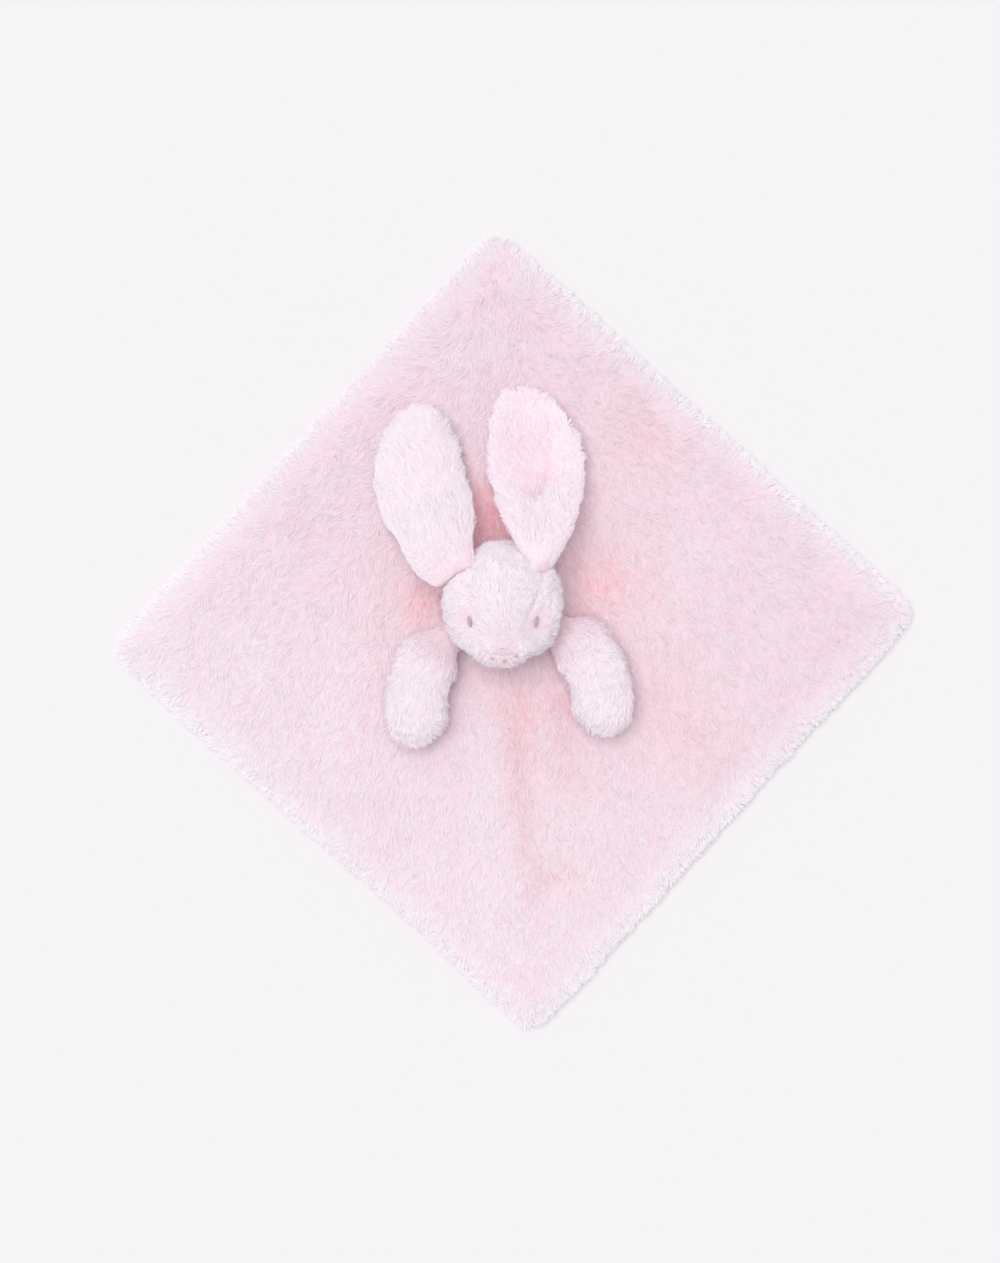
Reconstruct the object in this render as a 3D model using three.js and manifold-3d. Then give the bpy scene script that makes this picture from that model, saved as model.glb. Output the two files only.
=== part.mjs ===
// Bunny lovey: a square double-layer plush blanket with a stuffed bunny head, soft ears and stuffed arms
// sewn to its middle. Millimetres, +Z up, the blanket's underside at z = 0. The face looks towards -Y and
// up, so the bunny's own left is +X.

import * as THREE from 'three';
import Module from 'manifold-3d';
import { mergeVertices } from 'three/addons/utils/BufferGeometryUtils.js';

// Gaps and cloth
const touchGap = 0.3;           // between pieces that are sewn or pressed together
const runningGap = 0.5;         // beside a form that moves
const seatGap = 0.9;            // round a root that turns in its seat, both of them with flat faces
const coverThickness = 4;       // backing and pile of the head's and arms' plush
const fillingGap = 1.1;         // between a cover and its filling, whose flat faces fall short of each other

// Blanket
const blanketSide = 350;
const blanketTurnDeg = 47.6;    // from the photograph: corners up, down and to the sides, a little askew
const blanketCornerRadius = 11;
const panelThickness = 5.35;    // one panel with its pile, as it lies
const edgeRound = 9;            // how far in from the outline the rounded edge reaches
const seamInset = 5;            // the seam thread's place in from the outline
const threadWidth = 1.2;        // the seam's two twisted threads, drawn as one
const closingLength = 64;       // the gap that the blanket was turned through
const closingSwing = 1.1;       // how far the hand stitches swing to each side
const foldHeight = 3.2;
const foldHalfWidth = 13;

// Head, measured from its middle: half sizes across, from top to chin, and from back to nose
const headMiddleX = -5.9;       // the bunny lies a little to the side of the blanket's middle
const headMiddleY = 19;
const headMiddleZ = 44.4;
const headHalfWidth = 35.5;
const headHalfHeight = 31;
const headHalfLength = 36;
const headPitchDeg = 37;        // how far the face looks up
const muzzleHalfWidth = 20;
const muzzleHalfHeight = 16.5;
const muzzleHalfLength = 22;
const muzzleForward = 19;
const muzzleDrop = 8;
const cheekRadius = 17;
const cheekSide = 15;
const cheekForward = 12;
const cheekDrop = 9;
const gussetHalfAngleDeg = 44;  // the forehead seams, as seen from the nose

// Neck: a gathered ball of cloth and a ring of stitches
const neckRadius = 8;
const neckY = 0.5;
const neckThreadRingRadius = 7.2;

// Face
const eyeSide = 20.5;
const eyeForward = 26.2;
const eyeUp = 11.6;
const eyeHalfWidth = 1.9;
const eyeHalfHeight = 4;
const eyeHalfDepth = 1.3;
const noseHalfWidth = 6;
const noseHalfHeight = 4.2;
const noseHalfDepth = 1.8;
const noseUp = -0.5;
const mouthMiddleDrop = 6;
const mouthSideDrop = 4.4;
const mouthSpacing = 6.6;
const mouthStitchRadius = 0.95;

// Ears
const earRootRadius = 8;
const earRootSide = 23;
const earRootUp = 22;
const earRootBack = 10.5;
const earLength = 106;
const earHalfWidth = 28.5;
const earNeckHalfWidth = 6.5;
const earCup = 8;               // how far the long edges curl out of the ear's middle
const earLobe = 10;             // how far a folded-over base hangs out to the side
const earLobeSag = 17;          // and how far it hangs back past the root
const earLayer = 4.6;           // one of the ear's two panels with its pile
const earLiftDeg = 95;          // how far the ears lift, which their necks are trimmed for
const earTackLength = 8;
const earTackRadius = 0.8;
const earRestAboveBlanket = 3;

// Arms
const armRootRadius = 8.8;      // from top to bottom and along the arm, round about its hinge
const armRootHalfWidth = 11.5;
const armRootLift = 0.75;       // how much higher the root's underside is than the arm's, so that it can turn
const armHalfWidth = 18.2;
const armHalfHeight = 14.6;
const armTipRadius = 17;
const armSwellLength = 26;
const armLength = 77;           // from the middle of the root's ball to the end of the paw
const armLiftDeg = 35;          // how far the arms lift and the head turns and nods, which the arms' roots
const headTurnDeg = 12;         // are trimmed for
const headNodDeg = 35;
const roomGrowth = 2.4;           // how much larger than the head the trimming form is
const armTackRingRadius = 7;
const armTackThread = 1;

// Numbers of steps round and along the soft forms
const sideSteps = 12;           // along a side of the blanket's front, which has the folds
const plainSideSteps = 3;       // along a side of its back and of its seam
const cornerSteps = 3;
const headLongSteps = 14;
const fillingLongSteps = 10;
const fillingRoundSteps = 12;
const headSideSteps = 8;
const headGussetSteps = 4;
const roomLongSteps = 10;
const roomRoundSteps = 14;
const armLongSteps = 12;
const armRoundSteps = 10;
const earLongSteps = 12;
const earWideSteps = 6;
const trimSteps = 7;
const stitchSteps = 5;
const ringSteps = 24;
const ringSides = 6;
const ballSteps = 9;
const closingStitches = 9;

// Where the blanket's main folds run, as shares of its side, with their heights as shares of foldHeight
const foldShares = [
  { from: [-0.022, -0.13], to: [0.004, -0.5], height: 1 },
  { from: [0.055, -0.13], to: [0.085, -0.25], height: 0.6 },
  { from: [0.109, 0.47], to: [0.08, 0.4], height: 0.3 },
  { from: [0.223, 0.352], to: [0.26, 0.3], height: -0.6 },
  { from: [0.092, -0.416], to: [0.11, -0.38], height: -0.8 },
  { from: [-0.25, -0.1], to: [-0.33, -0.02], height: -0.5 },
];

// How the ring insets step in from the blanket's outline: the edge's roll, then the flat middle
const rollShares = [0, 0.09, 0.34, 0.72, 1];
const middleShares = [0.13, 0.28, 0.45, 0.63, 0.82];
const innerCornerShare = 0.05;  // the inner rings' corner radius as a share of the outline's

const colours = {
  blanket: '#f2d0dc',
  bunny: '#f7e6ee',
  filling: '#fbfafa',
  greyThread: '#a9aeb6',
  noseThread: '#e9d3e4',
  pinkThread: '#eecfdc',
};

const radians = THREE.MathUtils.degToRad;
const point = (x, y, z) => new THREE.Vector3(x, y, z);
const blanketTop = 2 * panelThickness + touchGap;
const lovey = new THREE.Group();

const wasm = await Module();
wasm.setup();

// A closed body as a solid that can be joined and cut.
function toSolid(geometry) {
  const bare = geometry.clone();
  bare.deleteAttribute('normal');
  bare.deleteAttribute('uv');
  const merged = mergeVertices(bare);
  return new wasm.Manifold(new wasm.Mesh({
    numProp: 3,
    vertProperties: Float32Array.from(merged.getAttribute('position').array),
    triVerts: Uint32Array.from(merged.getIndex().array),
  }));
}

function toGeometry(solid) {
  const mesh = solid.getMesh();
  const geometry = new THREE.BufferGeometry();
  geometry.setAttribute('position', new THREE.BufferAttribute(mesh.vertProperties, 3));
  geometry.setIndex(new THREE.BufferAttribute(mesh.triVerts, 1));
  return geometry;
}

// Cuts the tools, which are geometries, out of a geometry, and joins the extras to it.
function carve(geometry, tools, extras = []) {
  let solid = toSolid(geometry);
  for (const tool of tools) {
    solid = solid.subtract(toSolid(tool));
  }
  for (const extra of extras) {
    solid = solid.add(toSolid(extra));
  }
  return toGeometry(solid);
}

// A geometry from points and faces, turned inside out if its faces point in.
function bodyFrom(points, faces) {
  let volume = 0;
  for (const [a, b, c] of faces) {
    volume += points[a].dot(points[b].clone().cross(points[c]));
  }
  const order = volume < 0 ? faces.map(([a, b, c]) => [a, c, b]) : faces;
  const geometry = new THREE.BufferGeometry();
  geometry.setAttribute('position', new THREE.Float32BufferAttribute(points.flatMap((p) => p.toArray()), 3));
  geometry.setIndex(order.flat());
  return geometry;
}

// Faces between two rings of equally many points, the rings given by their first point's number.
function strip(first, second, count, closed) {
  const faces = [];
  for (let i = 0; i < (closed ? count : count - 1); i += 1) {
    const next = (i + 1) % count;
    faces.push([first + i, first + next, second + next], [first + i, second + next, second + i]);
  }
  return faces;
}

// A closed form whose rings run between two poles: at(u, v) gives a point for u and v from 0 to 1.
function closedForm(at, longSteps, roundSteps) {
  const points = [at(0, 0)];
  const faces = [];
  for (let i = 1; i < longSteps; i += 1) {
    for (let j = 0; j < roundSteps; j += 1) {
      points.push(at(i / longSteps, j / roundSteps));
    }
  }
  const last = points.push(at(1, 0)) - 1;
  for (let j = 0; j < roundSteps; j += 1) {
    const next = (j + 1) % roundSteps;
    faces.push([0, 1 + next, 1 + j], [last, last - roundSteps + j, last - roundSteps + next]);
  }
  for (let i = 0; i < longSteps - 2; i += 1) {
    faces.push(...strip(1 + i * roundSteps, 1 + (i + 1) * roundSteps, roundSteps, true));
  }
  return bodyFrom(points, faces);
}

// A piece of cloth with an outer and an inner face, each at(u, v) for u and v from 0 to 1.
function clothPatch(outer, inner, longSteps, wideSteps) {
  const points = [];
  const faces = [];
  const row = wideSteps + 1;
  const layer = row * (longSteps + 1);
  for (const at of [outer, inner]) {
    for (let i = 0; i <= longSteps; i += 1) {
      for (let j = 0; j <= wideSteps; j += 1) {
        points.push(at(i / longSteps, j / wideSteps));
      }
    }
  }
  for (let i = 0; i < longSteps; i += 1) {
    faces.push(...strip(i * row, (i + 1) * row, row, false));
    faces.push(...strip(layer + i * row, layer + (i + 1) * row, row, false).map(([a, b, c]) => [a, c, b]));
    const [a, b] = [i * row, (i + 1) * row];
    faces.push([a, b, layer + b], [a, layer + b, layer + a]);
    const [c, d] = [a + wideSteps, b + wideSteps];
    faces.push([d, c, layer + d], [c, layer + c, layer + d]);
  }
  const end = longSteps * row;
  faces.push(...strip(layer, 0, row, false), ...strip(end, layer + end, row, false));
  return bodyFrom(points, faces);
}

function ball(radius, middle) {
  const geometry = new THREE.SphereGeometry(radius, ballSteps, ballSteps);
  return geometry.translate(middle.x, middle.y, middle.z);
}

// A thread along a list of points, closed on itself or with two flat ends, of a section with few sides.
function threadAlong(path, radius, sides, closed) {
  const points = [];
  const faces = [];
  const count = path.length;
  path.forEach((middle, i) => {
    const before = path[closed ? (i + count - 1) % count : Math.max(i - 1, 0)];
    const after = path[closed ? (i + 1) % count : Math.min(i + 1, count - 1)];
    const along = after.clone().sub(before).normalize();
    const up = Math.abs(along.z) > Math.SQRT1_2 ? point(1, 0, 0) : point(0, 0, 1);
    const side = along.clone().cross(up).normalize();
    const rise = side.clone().cross(along);
    for (let j = 0; j < sides; j += 1) {
      const turn = (2 * Math.PI * (j + 0.5)) / sides;
      points.push(middle.clone()
        .addScaledVector(side, radius * Math.cos(turn))
        .addScaledVector(rise, radius * Math.sin(turn)));
    }
    if (closed || i < count - 1) {
      faces.push(...strip(i * sides, ((i + 1) % count) * sides, sides, true));
    }
  });
  if (!closed) {
    for (const [ring, flip] of [[0, true], [(count - 1) * sides, false]]) {
      const middle = points.push(path[flip ? 0 : count - 1].clone()) - 1;
      for (let j = 0; j < sides; j += 1) {
        const next = (j + 1) % sides;
        faces.push(flip ? [middle, ring + next, ring + j] : [middle, ring + j, ring + next]);
      }
    }
  }
  return bodyFrom(points, faces);
}

// A ring of thread, or an arc of it between two headings, lying flat.
function ringOfThread(radius, width, middle, fromDeg = 0, toDeg = 360) {
  const closed = toDeg - fromDeg === 360;
  const steps = Math.round((ringSteps * (toDeg - fromDeg)) / 360);
  const path = [];
  for (let i = 0; i < (closed ? steps : steps + 1); i += 1) {
    const turn = radians(fromDeg + ((toDeg - fromDeg) * i) / steps);
    path.push(point(middle.x + radius * Math.cos(turn), middle.y + radius * Math.sin(turn), middle.z));
  }
  return threadAlong(path, width / 2, ringSides, closed);
}

// A form turned about a line through a place.
function turnedAbout(geometry, place, axis, angleDeg) {
  return geometry
    .translate(-place.x, -place.y, -place.z)
    .applyMatrix4(new THREE.Matrix4().makeRotationAxis(axis, radians(angleDeg)))
    .translate(place.x, place.y, place.z);
}

function cloth(colour) {
  return new THREE.MeshStandardMaterial({ color: colour, roughness: 0.95, metalness: 0 });
}

function thread(colour) {
  return new THREE.MeshStandardMaterial({ color: colour, roughness: 0.6, metalness: 0 });
}

// Adds a named piece, whose geometry is in the part's own frame, to a group placed at a joint.
function addPiece(group, name, geometry, material) {
  const place = group.getWorldPosition(point(0, 0, 0));
  const mesh = new THREE.Mesh(geometry.translate(-place.x, -place.y, -place.z), material);
  mesh.name = name;
  group.add(mesh);
}

// A group whose origin is on the axis that its pieces turn about.
function addJointGroup(parent, place) {
  const group = new THREE.Group();
  parent.updateWorldMatrix(true, false);
  group.position.copy(place).sub(parent.getWorldPosition(point(0, 0, 0)));
  parent.add(group);
  group.updateWorldMatrix(true, false);
  return group;
}

// The blanket's rounded-square outline, moved in by inset, as one ring of points in its own turned frame.
function blanketRing(inset, z, steps) {
  const half = blanketSide / 2 - inset;
  const round = Math.max(blanketCornerRadius - inset, blanketCornerRadius * innerCornerShare);
  const ring = [];
  for (let side = 0; side < 4; side += 1) {
    const turn = (side * Math.PI) / 2;
    const place = (x, y) => ring.push(point(
      x * Math.cos(turn) - y * Math.sin(turn),
      x * Math.sin(turn) + y * Math.cos(turn),
      z(x * Math.cos(turn) - y * Math.sin(turn), x * Math.sin(turn) + y * Math.cos(turn)),
    ));
    for (let i = 0; i < steps; i += 1) {
      place(half, (half - round) * ((2 * i) / steps - 1));
    }
    for (let i = 0; i < cornerSteps; i += 1) {
      const bend = (Math.PI / 2) * (i / cornerSteps);
      place(half - round + round * Math.cos(bend), half - round + round * Math.sin(bend));
    }
  }
  return ring;
}

// How much the folds lift the blanket's top at a place in the part's frame.
function foldLift(x, y) {
  let lift = 0;
  for (const fold of foldShares) {
    const [x0, y0] = fold.from.map((share) => share * blanketSide);
    const [x1, y1] = fold.to.map((share) => share * blanketSide);
    const [dx, dy] = [x1 - x0, y1 - y0];
    const along = THREE.MathUtils.clamp(((x - x0) * dx + (y - y0) * dy) / (dx * dx + dy * dy), 0, 1);
    const away = Math.hypot(x - x0 - along * dx, y - y0 - along * dy) / foldHalfWidth;
    lift += foldHeight * fold.height * Math.exp(-away * away);
  }
  return lift;
}

// One blanket panel: a rolled edge, a face with the folds if it is the front, and a flat face inside.
function blanketPanel(isFront) {
  const turn = radians(blanketTurnDeg);
  const innerZ = panelThickness + (isFront ? touchGap : 0);
  const away = isFront ? 1 : -1;
  const reach = blanketSide / 2 - edgeRound;
  const insets = rollShares.map((share) => share * edgeRound);
  if (isFront) {
    insets.push(...middleShares.map((share) => edgeRound + share * reach));
  }
  const steps = isFront ? sideSteps : plainSideSteps;
  const points = [];
  const faces = [];
  for (const inset of insets) {
    const roll = Math.sqrt(Math.max(0, 1 - (1 - Math.min(inset / edgeRound, 1)) ** 2));
    const height = (x, y) => {
      const lift = isFront ? foldLift(
        x * Math.cos(turn) - y * Math.sin(turn),
        x * Math.sin(turn) + y * Math.cos(turn),
      ) : 0;
      return innerZ + away * roll * (panelThickness + lift * Math.min(inset / edgeRound, 1));
    };
    points.push(...blanketRing(inset, height, steps));
  }
  const count = 4 * (steps + cornerSteps);
  for (let i = 0; i < insets.length - 1; i += 1) {
    faces.push(...strip(i * count, (i + 1) * count, count, true));
  }
  const outside = points.push(point(0, 0, innerZ + away * panelThickness)) - 1;
  const inside = points.push(point(0, 0, innerZ)) - 1;
  const lastRing = (insets.length - 1) * count;
  for (let j = 0; j < count; j += 1) {
    const next = (j + 1) % count;
    faces.push([lastRing + j, lastRing + next, outside], [next, j, inside]);
  }
  return bodyFrom(points, faces);
}

// The seam thread's path along the edge, with the turning gap left open on one side, and the hand stitches
// that close that gap.
function seamPaths() {
  const middleZ = panelThickness + touchGap / 2;
  const half = blanketSide / 2 - seamInset;
  const ring = blanketRing(seamInset, () => middleZ, plainSideSteps);
  const start = ring.findIndex((p) => p.x > half - touchGap && p.y > closingLength / 2);
  const turned = [...ring.slice(start), ...ring.slice(0, start)];
  const path = turned.filter((p) => !(p.x > half - touchGap && Math.abs(p.y) <= closingLength / 2));
  const gapEnd = closingLength / 2;
  path.unshift(point(half, gapEnd, middleZ));
  path.push(point(half, -gapEnd, middleZ));
  const stitches = [];
  const free = gapEnd - threadWidth;
  for (let i = 0; i <= closingStitches; i += 1) {
    const swing = i % 2 ? closingSwing : -closingSwing;
    stitches.push(point(half + swing, free * ((2 * i) / closingStitches - 1), middleZ));
  }
  return { path, stitches, half, middleZ };
}

function addBlanket() {
  const { path, stitches, half, middleZ } = seamPaths();
  const seam = threadAlong(path, threadWidth / 2, 4, false);
  const seamRoom = threadAlong(path, threadWidth / 2 + touchGap, 4, false);
  const closing = threadAlong(stitches, threadWidth / 2, 4, false);
  const roomWidth = 2 * (closingSwing + threadWidth);
  const closingRoom = new THREE.BoxGeometry(roomWidth, closingLength, threadWidth + 2 * touchGap);
  closingRoom.translate(half, 0, middleZ);
  const tools = [seamRoom, closingRoom];
  const blanket = new THREE.Group();
  blanket.rotation.z = radians(blanketTurnDeg);
  lovey.add(blanket);
  addPiece(blanket, 'blanket_front_panel', carve(blanketPanel(true), tools), cloth(colours.blanket));
  addPiece(blanket, 'blanket_back_panel', carve(blanketPanel(false), tools), cloth(colours.blanket));
  addPiece(blanket, 'blanket_seam_thread', seam, thread(colours.pinkThread));
  addPiece(blanket, 'blanket_closing_thread', closing, thread(colours.pinkThread));
}

// The head's own axes: across to its left, up through its crown, and forward through its nose.
const pitch = radians(headPitchDeg);
const across = point(1, 0, 0);
const crown = point(0, Math.sin(pitch), Math.cos(pitch));
const forward = point(0, -Math.cos(pitch), Math.sin(pitch));
const headCentre = point(headMiddleX, headMiddleY, headMiddleZ);

function inHead(side, up, ahead) {
  return headCentre.clone()
    .addScaledVector(across, side)
    .addScaledVector(crown, up)
    .addScaledVector(forward, ahead);
}

// How far an egg's far side is from the head's middle, along a direction in the head's own axes.
function eggReach(direction, middle, half) {
  let a = 0;
  let b = 0;
  let c = -1;
  for (let i = 0; i < 3; i += 1) {
    a += (direction[i] / half[i]) ** 2;
    b += (direction[i] * middle[i]) / half[i] ** 2;
    c += (middle[i] / half[i]) ** 2;
  }
  const under = b * b - a * c;
  return under > 0 ? Math.max(0, (b + Math.sqrt(under)) / a) : 0;
}

// The head's surface swells smoothly over four eggs: the skull, the muzzle and the two cheeks.
const headEggs = [
  { middle: [0, 0, 0], half: [headHalfWidth, headHalfHeight, headHalfLength] },
  { middle: [0, -muzzleDrop, muzzleForward], half: [muzzleHalfWidth, muzzleHalfHeight, muzzleHalfLength] },
  { middle: [cheekSide, -cheekDrop, cheekForward], half: [cheekRadius, cheekRadius, cheekRadius] },
  { middle: [-cheekSide, -cheekDrop, cheekForward], half: [cheekRadius, cheekRadius, cheekRadius] },
];
const blendPower = 12;

function headReach(direction) {
  const reaches = headEggs.map((egg) => eggReach(direction, egg.middle, egg.half));
  const longest = Math.max(...reaches);
  const sum = reaches.reduce((total, reach) => total + (reach / longest) ** blendPower, 0);
  return longest * sum ** (1 / blendPower);
}

// A point on the head: away is the angle from the nose, around the angle from the crown to the left side.
function headPoint(away, around, inset) {
  const direction = [
    Math.sin(away) * Math.sin(around),
    Math.sin(away) * Math.cos(around),
    Math.cos(away),
  ];
  const reach = headReach(direction) - inset;
  return inHead(direction[0] * reach, direction[1] * reach, direction[2] * reach);
}

function headForm(inset, longSteps = headLongSteps, roundSteps = 2 * headSideSteps) {
  return closedForm((u, v) => headPoint(u * Math.PI, v * 2 * Math.PI, inset), longSteps, roundSteps);
}

// One panel of the head cover, between two angles around the nose axis, with half a gap at each seam.
function headPanel(fromDeg, toDeg, wideSteps) {
  const poleAngle = Math.asin((2 * coverThickness) / (3 * headHalfLength));
  const face = (inset) => (u, v) => {
    const away = poleAngle + u * (Math.PI - 2 * poleAngle);
    const [from, to] = [radians(fromDeg), radians(toDeg)];
    const girth = headPoint(away, (from + to) / 2, coverThickness).distanceTo(
      headCentre.clone().addScaledVector(forward, headPoint(away, from, coverThickness)
        .sub(headCentre).dot(forward)),
    );
    const seam = touchGap / 2 / Math.max(girth, coverThickness / 4);
    return headPoint(away, from + seam + v * (to - from - 2 * seam), inset);
  };
  return clothPatch(face(0), face(coverThickness), headLongSteps, wideSteps);
}

// A flat oval of embroidery on the head's surface, looking out along its own direction.
function embroidery(middle, outward, up, half, grow = 0) {
  const geometry = new THREE.SphereGeometry(1, half.steps, half.steps);
  geometry.scale(half.width + grow, half.height + grow, half.depth + grow);
  const side = up.clone().cross(outward).normalize();
  const top = outward.clone().cross(side).normalize();
  geometry.applyMatrix4(new THREE.Matrix4().makeBasis(side, top, outward.clone().normalize()));
  return geometry.translate(middle.x, middle.y, middle.z);
}

// Where a line from the head's middle towards a place in its own axes meets its surface.
function onHead(side, up, ahead, inset) {
  const length = Math.hypot(side, up, ahead);
  const direction = [side / length, up / length, ahead / length];
  const reach = headReach(direction) - inset;
  const outward = inHead(...direction).sub(headCentre);
  return { middle: headCentre.clone().addScaledVector(outward, reach), outward };
}

function faceTrims() {
  const eyeSize = { width: eyeHalfWidth, height: eyeHalfHeight, depth: eyeHalfDepth, steps: trimSteps };
  const noseSize = { width: noseHalfWidth, height: noseHalfHeight, depth: noseHalfDepth, steps: trimSteps };
  const bead = mouthStitchRadius;
  const stitchSize = { width: bead, height: bead, depth: bead, steps: stitchSteps };
  const noseAhead = muzzleForward + muzzleHalfLength;
  const trims = [];
  for (const [name, side] of [['eye_left', 1], ['eye_right', -1]]) {
    const spot = [side * eyeSide, eyeUp, eyeForward];
    trims.push({ name, size: eyeSize, colour: colours.greyThread, spot });
  }
  trims.push({ name: 'nose', size: noseSize, colour: colours.noseThread, spot: [0, noseUp, noseAhead] });
  for (const [name, side] of [['left', 1], ['centre', 0], ['right', -1]]) {
    const drop = side ? mouthSideDrop : mouthMiddleDrop;
    trims.push({
      name: `mouth_stitch_${name}`,
      size: stitchSize,
      colour: colours.greyThread,
      spot: [side * mouthSpacing, noseUp - drop, noseAhead],
    });
  }
  for (const trim of trims) {
    const { middle, outward } = onHead(...trim.spot, trim.size.depth / 2);
    trim.piece = embroidery(middle, outward, crown, trim.size);
    trim.room = embroidery(middle, outward, crown, trim.size, touchGap);
  }
  return trims;
}

// The ears' roots sit in the seams between the gusset and the side panels.
const earRoots = {
  left: inHead(earRootSide, earRootUp, -earRootBack),
  right: inHead(-earRootSide, earRootUp, -earRootBack),
};
const neckCentre = point(headMiddleX, neckY, blanketTop + touchGap + neckRadius);

function addHead(parent) {
  const trims = faceTrims();
  const seats = [
    ball(earRootRadius + seatGap, earRoots.left),
    ball(earRootRadius + seatGap, earRoots.right),
    ball(neckRadius + touchGap, neckCentre),
    ...trims.map((trim) => trim.room),
  ];
  const w = gussetHalfAngleDeg;
  addPiece(parent, 'head_gusset', carve(headPanel(-w, w, headGussetSteps), seats), cloth(colours.bunny));
  addPiece(parent, 'head_left_panel', carve(headPanel(w, 180, headSideSteps), seats), cloth(colours.bunny));
  addPiece(parent, 'head_right_panel', carve(headPanel(180, 360 - w, headSideSteps), seats),
    cloth(colours.bunny));
  const filling = headForm(coverThickness + fillingGap, fillingLongSteps, fillingRoundSteps);
  addPiece(parent, 'head_filling', carve(filling, seats), cloth(colours.filling));
  addPiece(parent, 'neck_gather', ball(neckRadius, neckCentre), cloth(colours.bunny));
  for (const trim of trims) {
    addPiece(parent, trim.name, trim.piece, thread(trim.colour));
  }
}

// Each ear's lie, seen from above: its heading, how far it bows to its right, how far it rolls, its length
// as a share of earLength, its cup as a share of earCup (edges up is positive), where it is widest, and how
// much of earLobe hangs out on its left. The left ear shows its hollow front and the right ear its back.
const earLies = {
  left: {
    headingDeg: 97,
    bowShare: 0.045,
    rollDeg: -4,
    lengthShare: 1,
    cupShare: 1,
    widestShare: 0.54,
    lobeShare: 0,
  },
  right: {
    headingDeg: 108,
    bowShare: -0.11,
    rollDeg: 3,
    lengthShare: 0.92,
    cupShare: -0.9,
    widestShare: 0.47,
    lobeShare: 1,
  },
};
const earDropShare = 0.5;       // how much of an ear's length it takes to come down to the blanket
const earEdgeShare = 0.08;      // a panel's thickness at its sewn edge
const earStartShare = 0.5;      // where the panels start inside the root's ball
const earTipShare = 0.25;       // how far from the tip they end, as a share of earLayer
const earTaperPower = 1.25;
const lobeFullShare = 0.14;     // where along the ear the folded-over base is widest
const lobeEndShare = 0.6;

// Half the ear's width at a share of its length: a pleated neck, a full middle and a round tip.
function earHalfWidthAt(along, lie) {
  if (along > lie.widestShare) {
    const past = (along - lie.widestShare) / (1 - lie.widestShare);
    return earHalfWidth * Math.sqrt(Math.max(0, 1 - past * past));
  }
  const grown = Math.sin((Math.PI / 2) * (along / lie.widestShare)) ** earTaperPower;
  return earNeckHalfWidth + (earHalfWidth - earNeckHalfWidth) * grown;
}

// A point of an ear: along from 0 at the root to 1 at the tip, wide from -1 to 1, and high above or below
// the surface where the two panels meet.
function earPoint(root, lie, along, wide, high) {
  const heading = radians(lie.headingDeg);
  const ahead = point(Math.cos(heading), Math.sin(heading), 0);
  const beside = point(Math.sin(heading), -Math.cos(heading), 0);
  const length = earLength * lie.lengthShare;
  const cup = earCup * lie.cupShare;
  const rest = blanketTop + earRestAboveBlanket + earLayer + Math.max(0, -cup);
  const fall = THREE.MathUtils.smoothstep(along, 0, earDropShare);
  const slope = along < earDropShare
    ? ((rest - root.z) * 6 * (along / earDropShare) * (1 - along / earDropShare)) / (earDropShare * length)
    : 0;
  const upright = ahead.clone().multiplyScalar(-slope).add(point(0, 0, 1)).normalize();
  const half = earHalfWidthAt(along, lie);
  const flare = wide < 0 ? lie.lobeShare * THREE.MathUtils.smoothstep(along, 0, lobeFullShare)
    * (1 - THREE.MathUtils.smoothstep(along, lobeFullShare, lobeEndShare)) : 0;
  const out = (half + earLobe * flare) * wide;
  const sag = earLobeSag * flare * wide * wide;
  const curl = cup * (out / earHalfWidth) ** 2;
  const roll = Math.tan(radians(lie.rollDeg)) * out;
  const bow = lie.bowShare * length * Math.sin(Math.PI * along);
  return point(root.x, root.y, root.z + (rest - root.z) * fall)
    .addScaledVector(ahead, along * length - sag)
    .addScaledVector(beside, out + bow)
    .addScaledVector(upright, curl + roll + high);
}

// One of an ear's two panels, thinning to its sewn edge: side is 1 for the upper panel, -1 for the lower.
function earPanel(root, lie, side) {
  const startShare = (earRootRadius / earLength) * earStartShare;
  const endShare = 1 - (earLayer / earLength) * earTipShare;
  const face = (thickness) => (u, v) => {
    const along = startShare + u * (endShare - startShare);
    const wide = 2 * v - 1;
    const rim = Math.min(1, earHalfWidthAt(along, lie) / (2 * earLayer));
    const edge = earEdgeShare + rim * Math.sqrt(Math.max(0, 1 - wide ** 4));
    return earPoint(root, lie, along, wide, side * (touchGap / 2 + thickness * edge));
  };
  return clothPatch(face(earLayer), face(0), earLongSteps, earWideSteps);
}

// A short bar of thread across the pleat, just above the upper panel.
function earTack(root, lie) {
  const along = (earRootRadius + earTackLength / 2) / earLength;
  const high = touchGap / 2 + earLayer * (1 + earEdgeShare) + touchGap + earTackRadius;
  const wide = earTackLength / 2 / earHalfWidthAt(along, lie);
  const ends = [-wide, wide].map((end) => earPoint(root, lie, along, end, high));
  return threadAlong(ends, earTackRadius, ringSides, false);
}

function addEars(head) {
  for (const side of ['left', 'right']) {
    const lie = earLies[side];
    const root = earRoots[side];
    const ear = addJointGroup(head, root);
    const rooms = [headForm(-runningGap), turnedAbout(headForm(-runningGap), root, across, -earLiftDeg)];
    const upper = carve(earPanel(root, lie, 1), rooms, [ball(earRootRadius, root)]);
    const lower = carve(earPanel(root, lie, -1), [...rooms, ball(earRootRadius + touchGap, root)]);
    const [upperName, lowerName] = lie.cupShare > 0 ? ['front', 'back'] : ['back', 'front'];
    addPiece(ear, `ear_${side}_${upperName}_panel`, upper, cloth(colours.bunny));
    addPiece(ear, `ear_${side}_${lowerName}_panel`, lower, cloth(colours.bunny));
    addPiece(ear, `ear_${side}_tack`, earTack(root, lie), thread(colours.pinkThread));
  }
}

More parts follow.
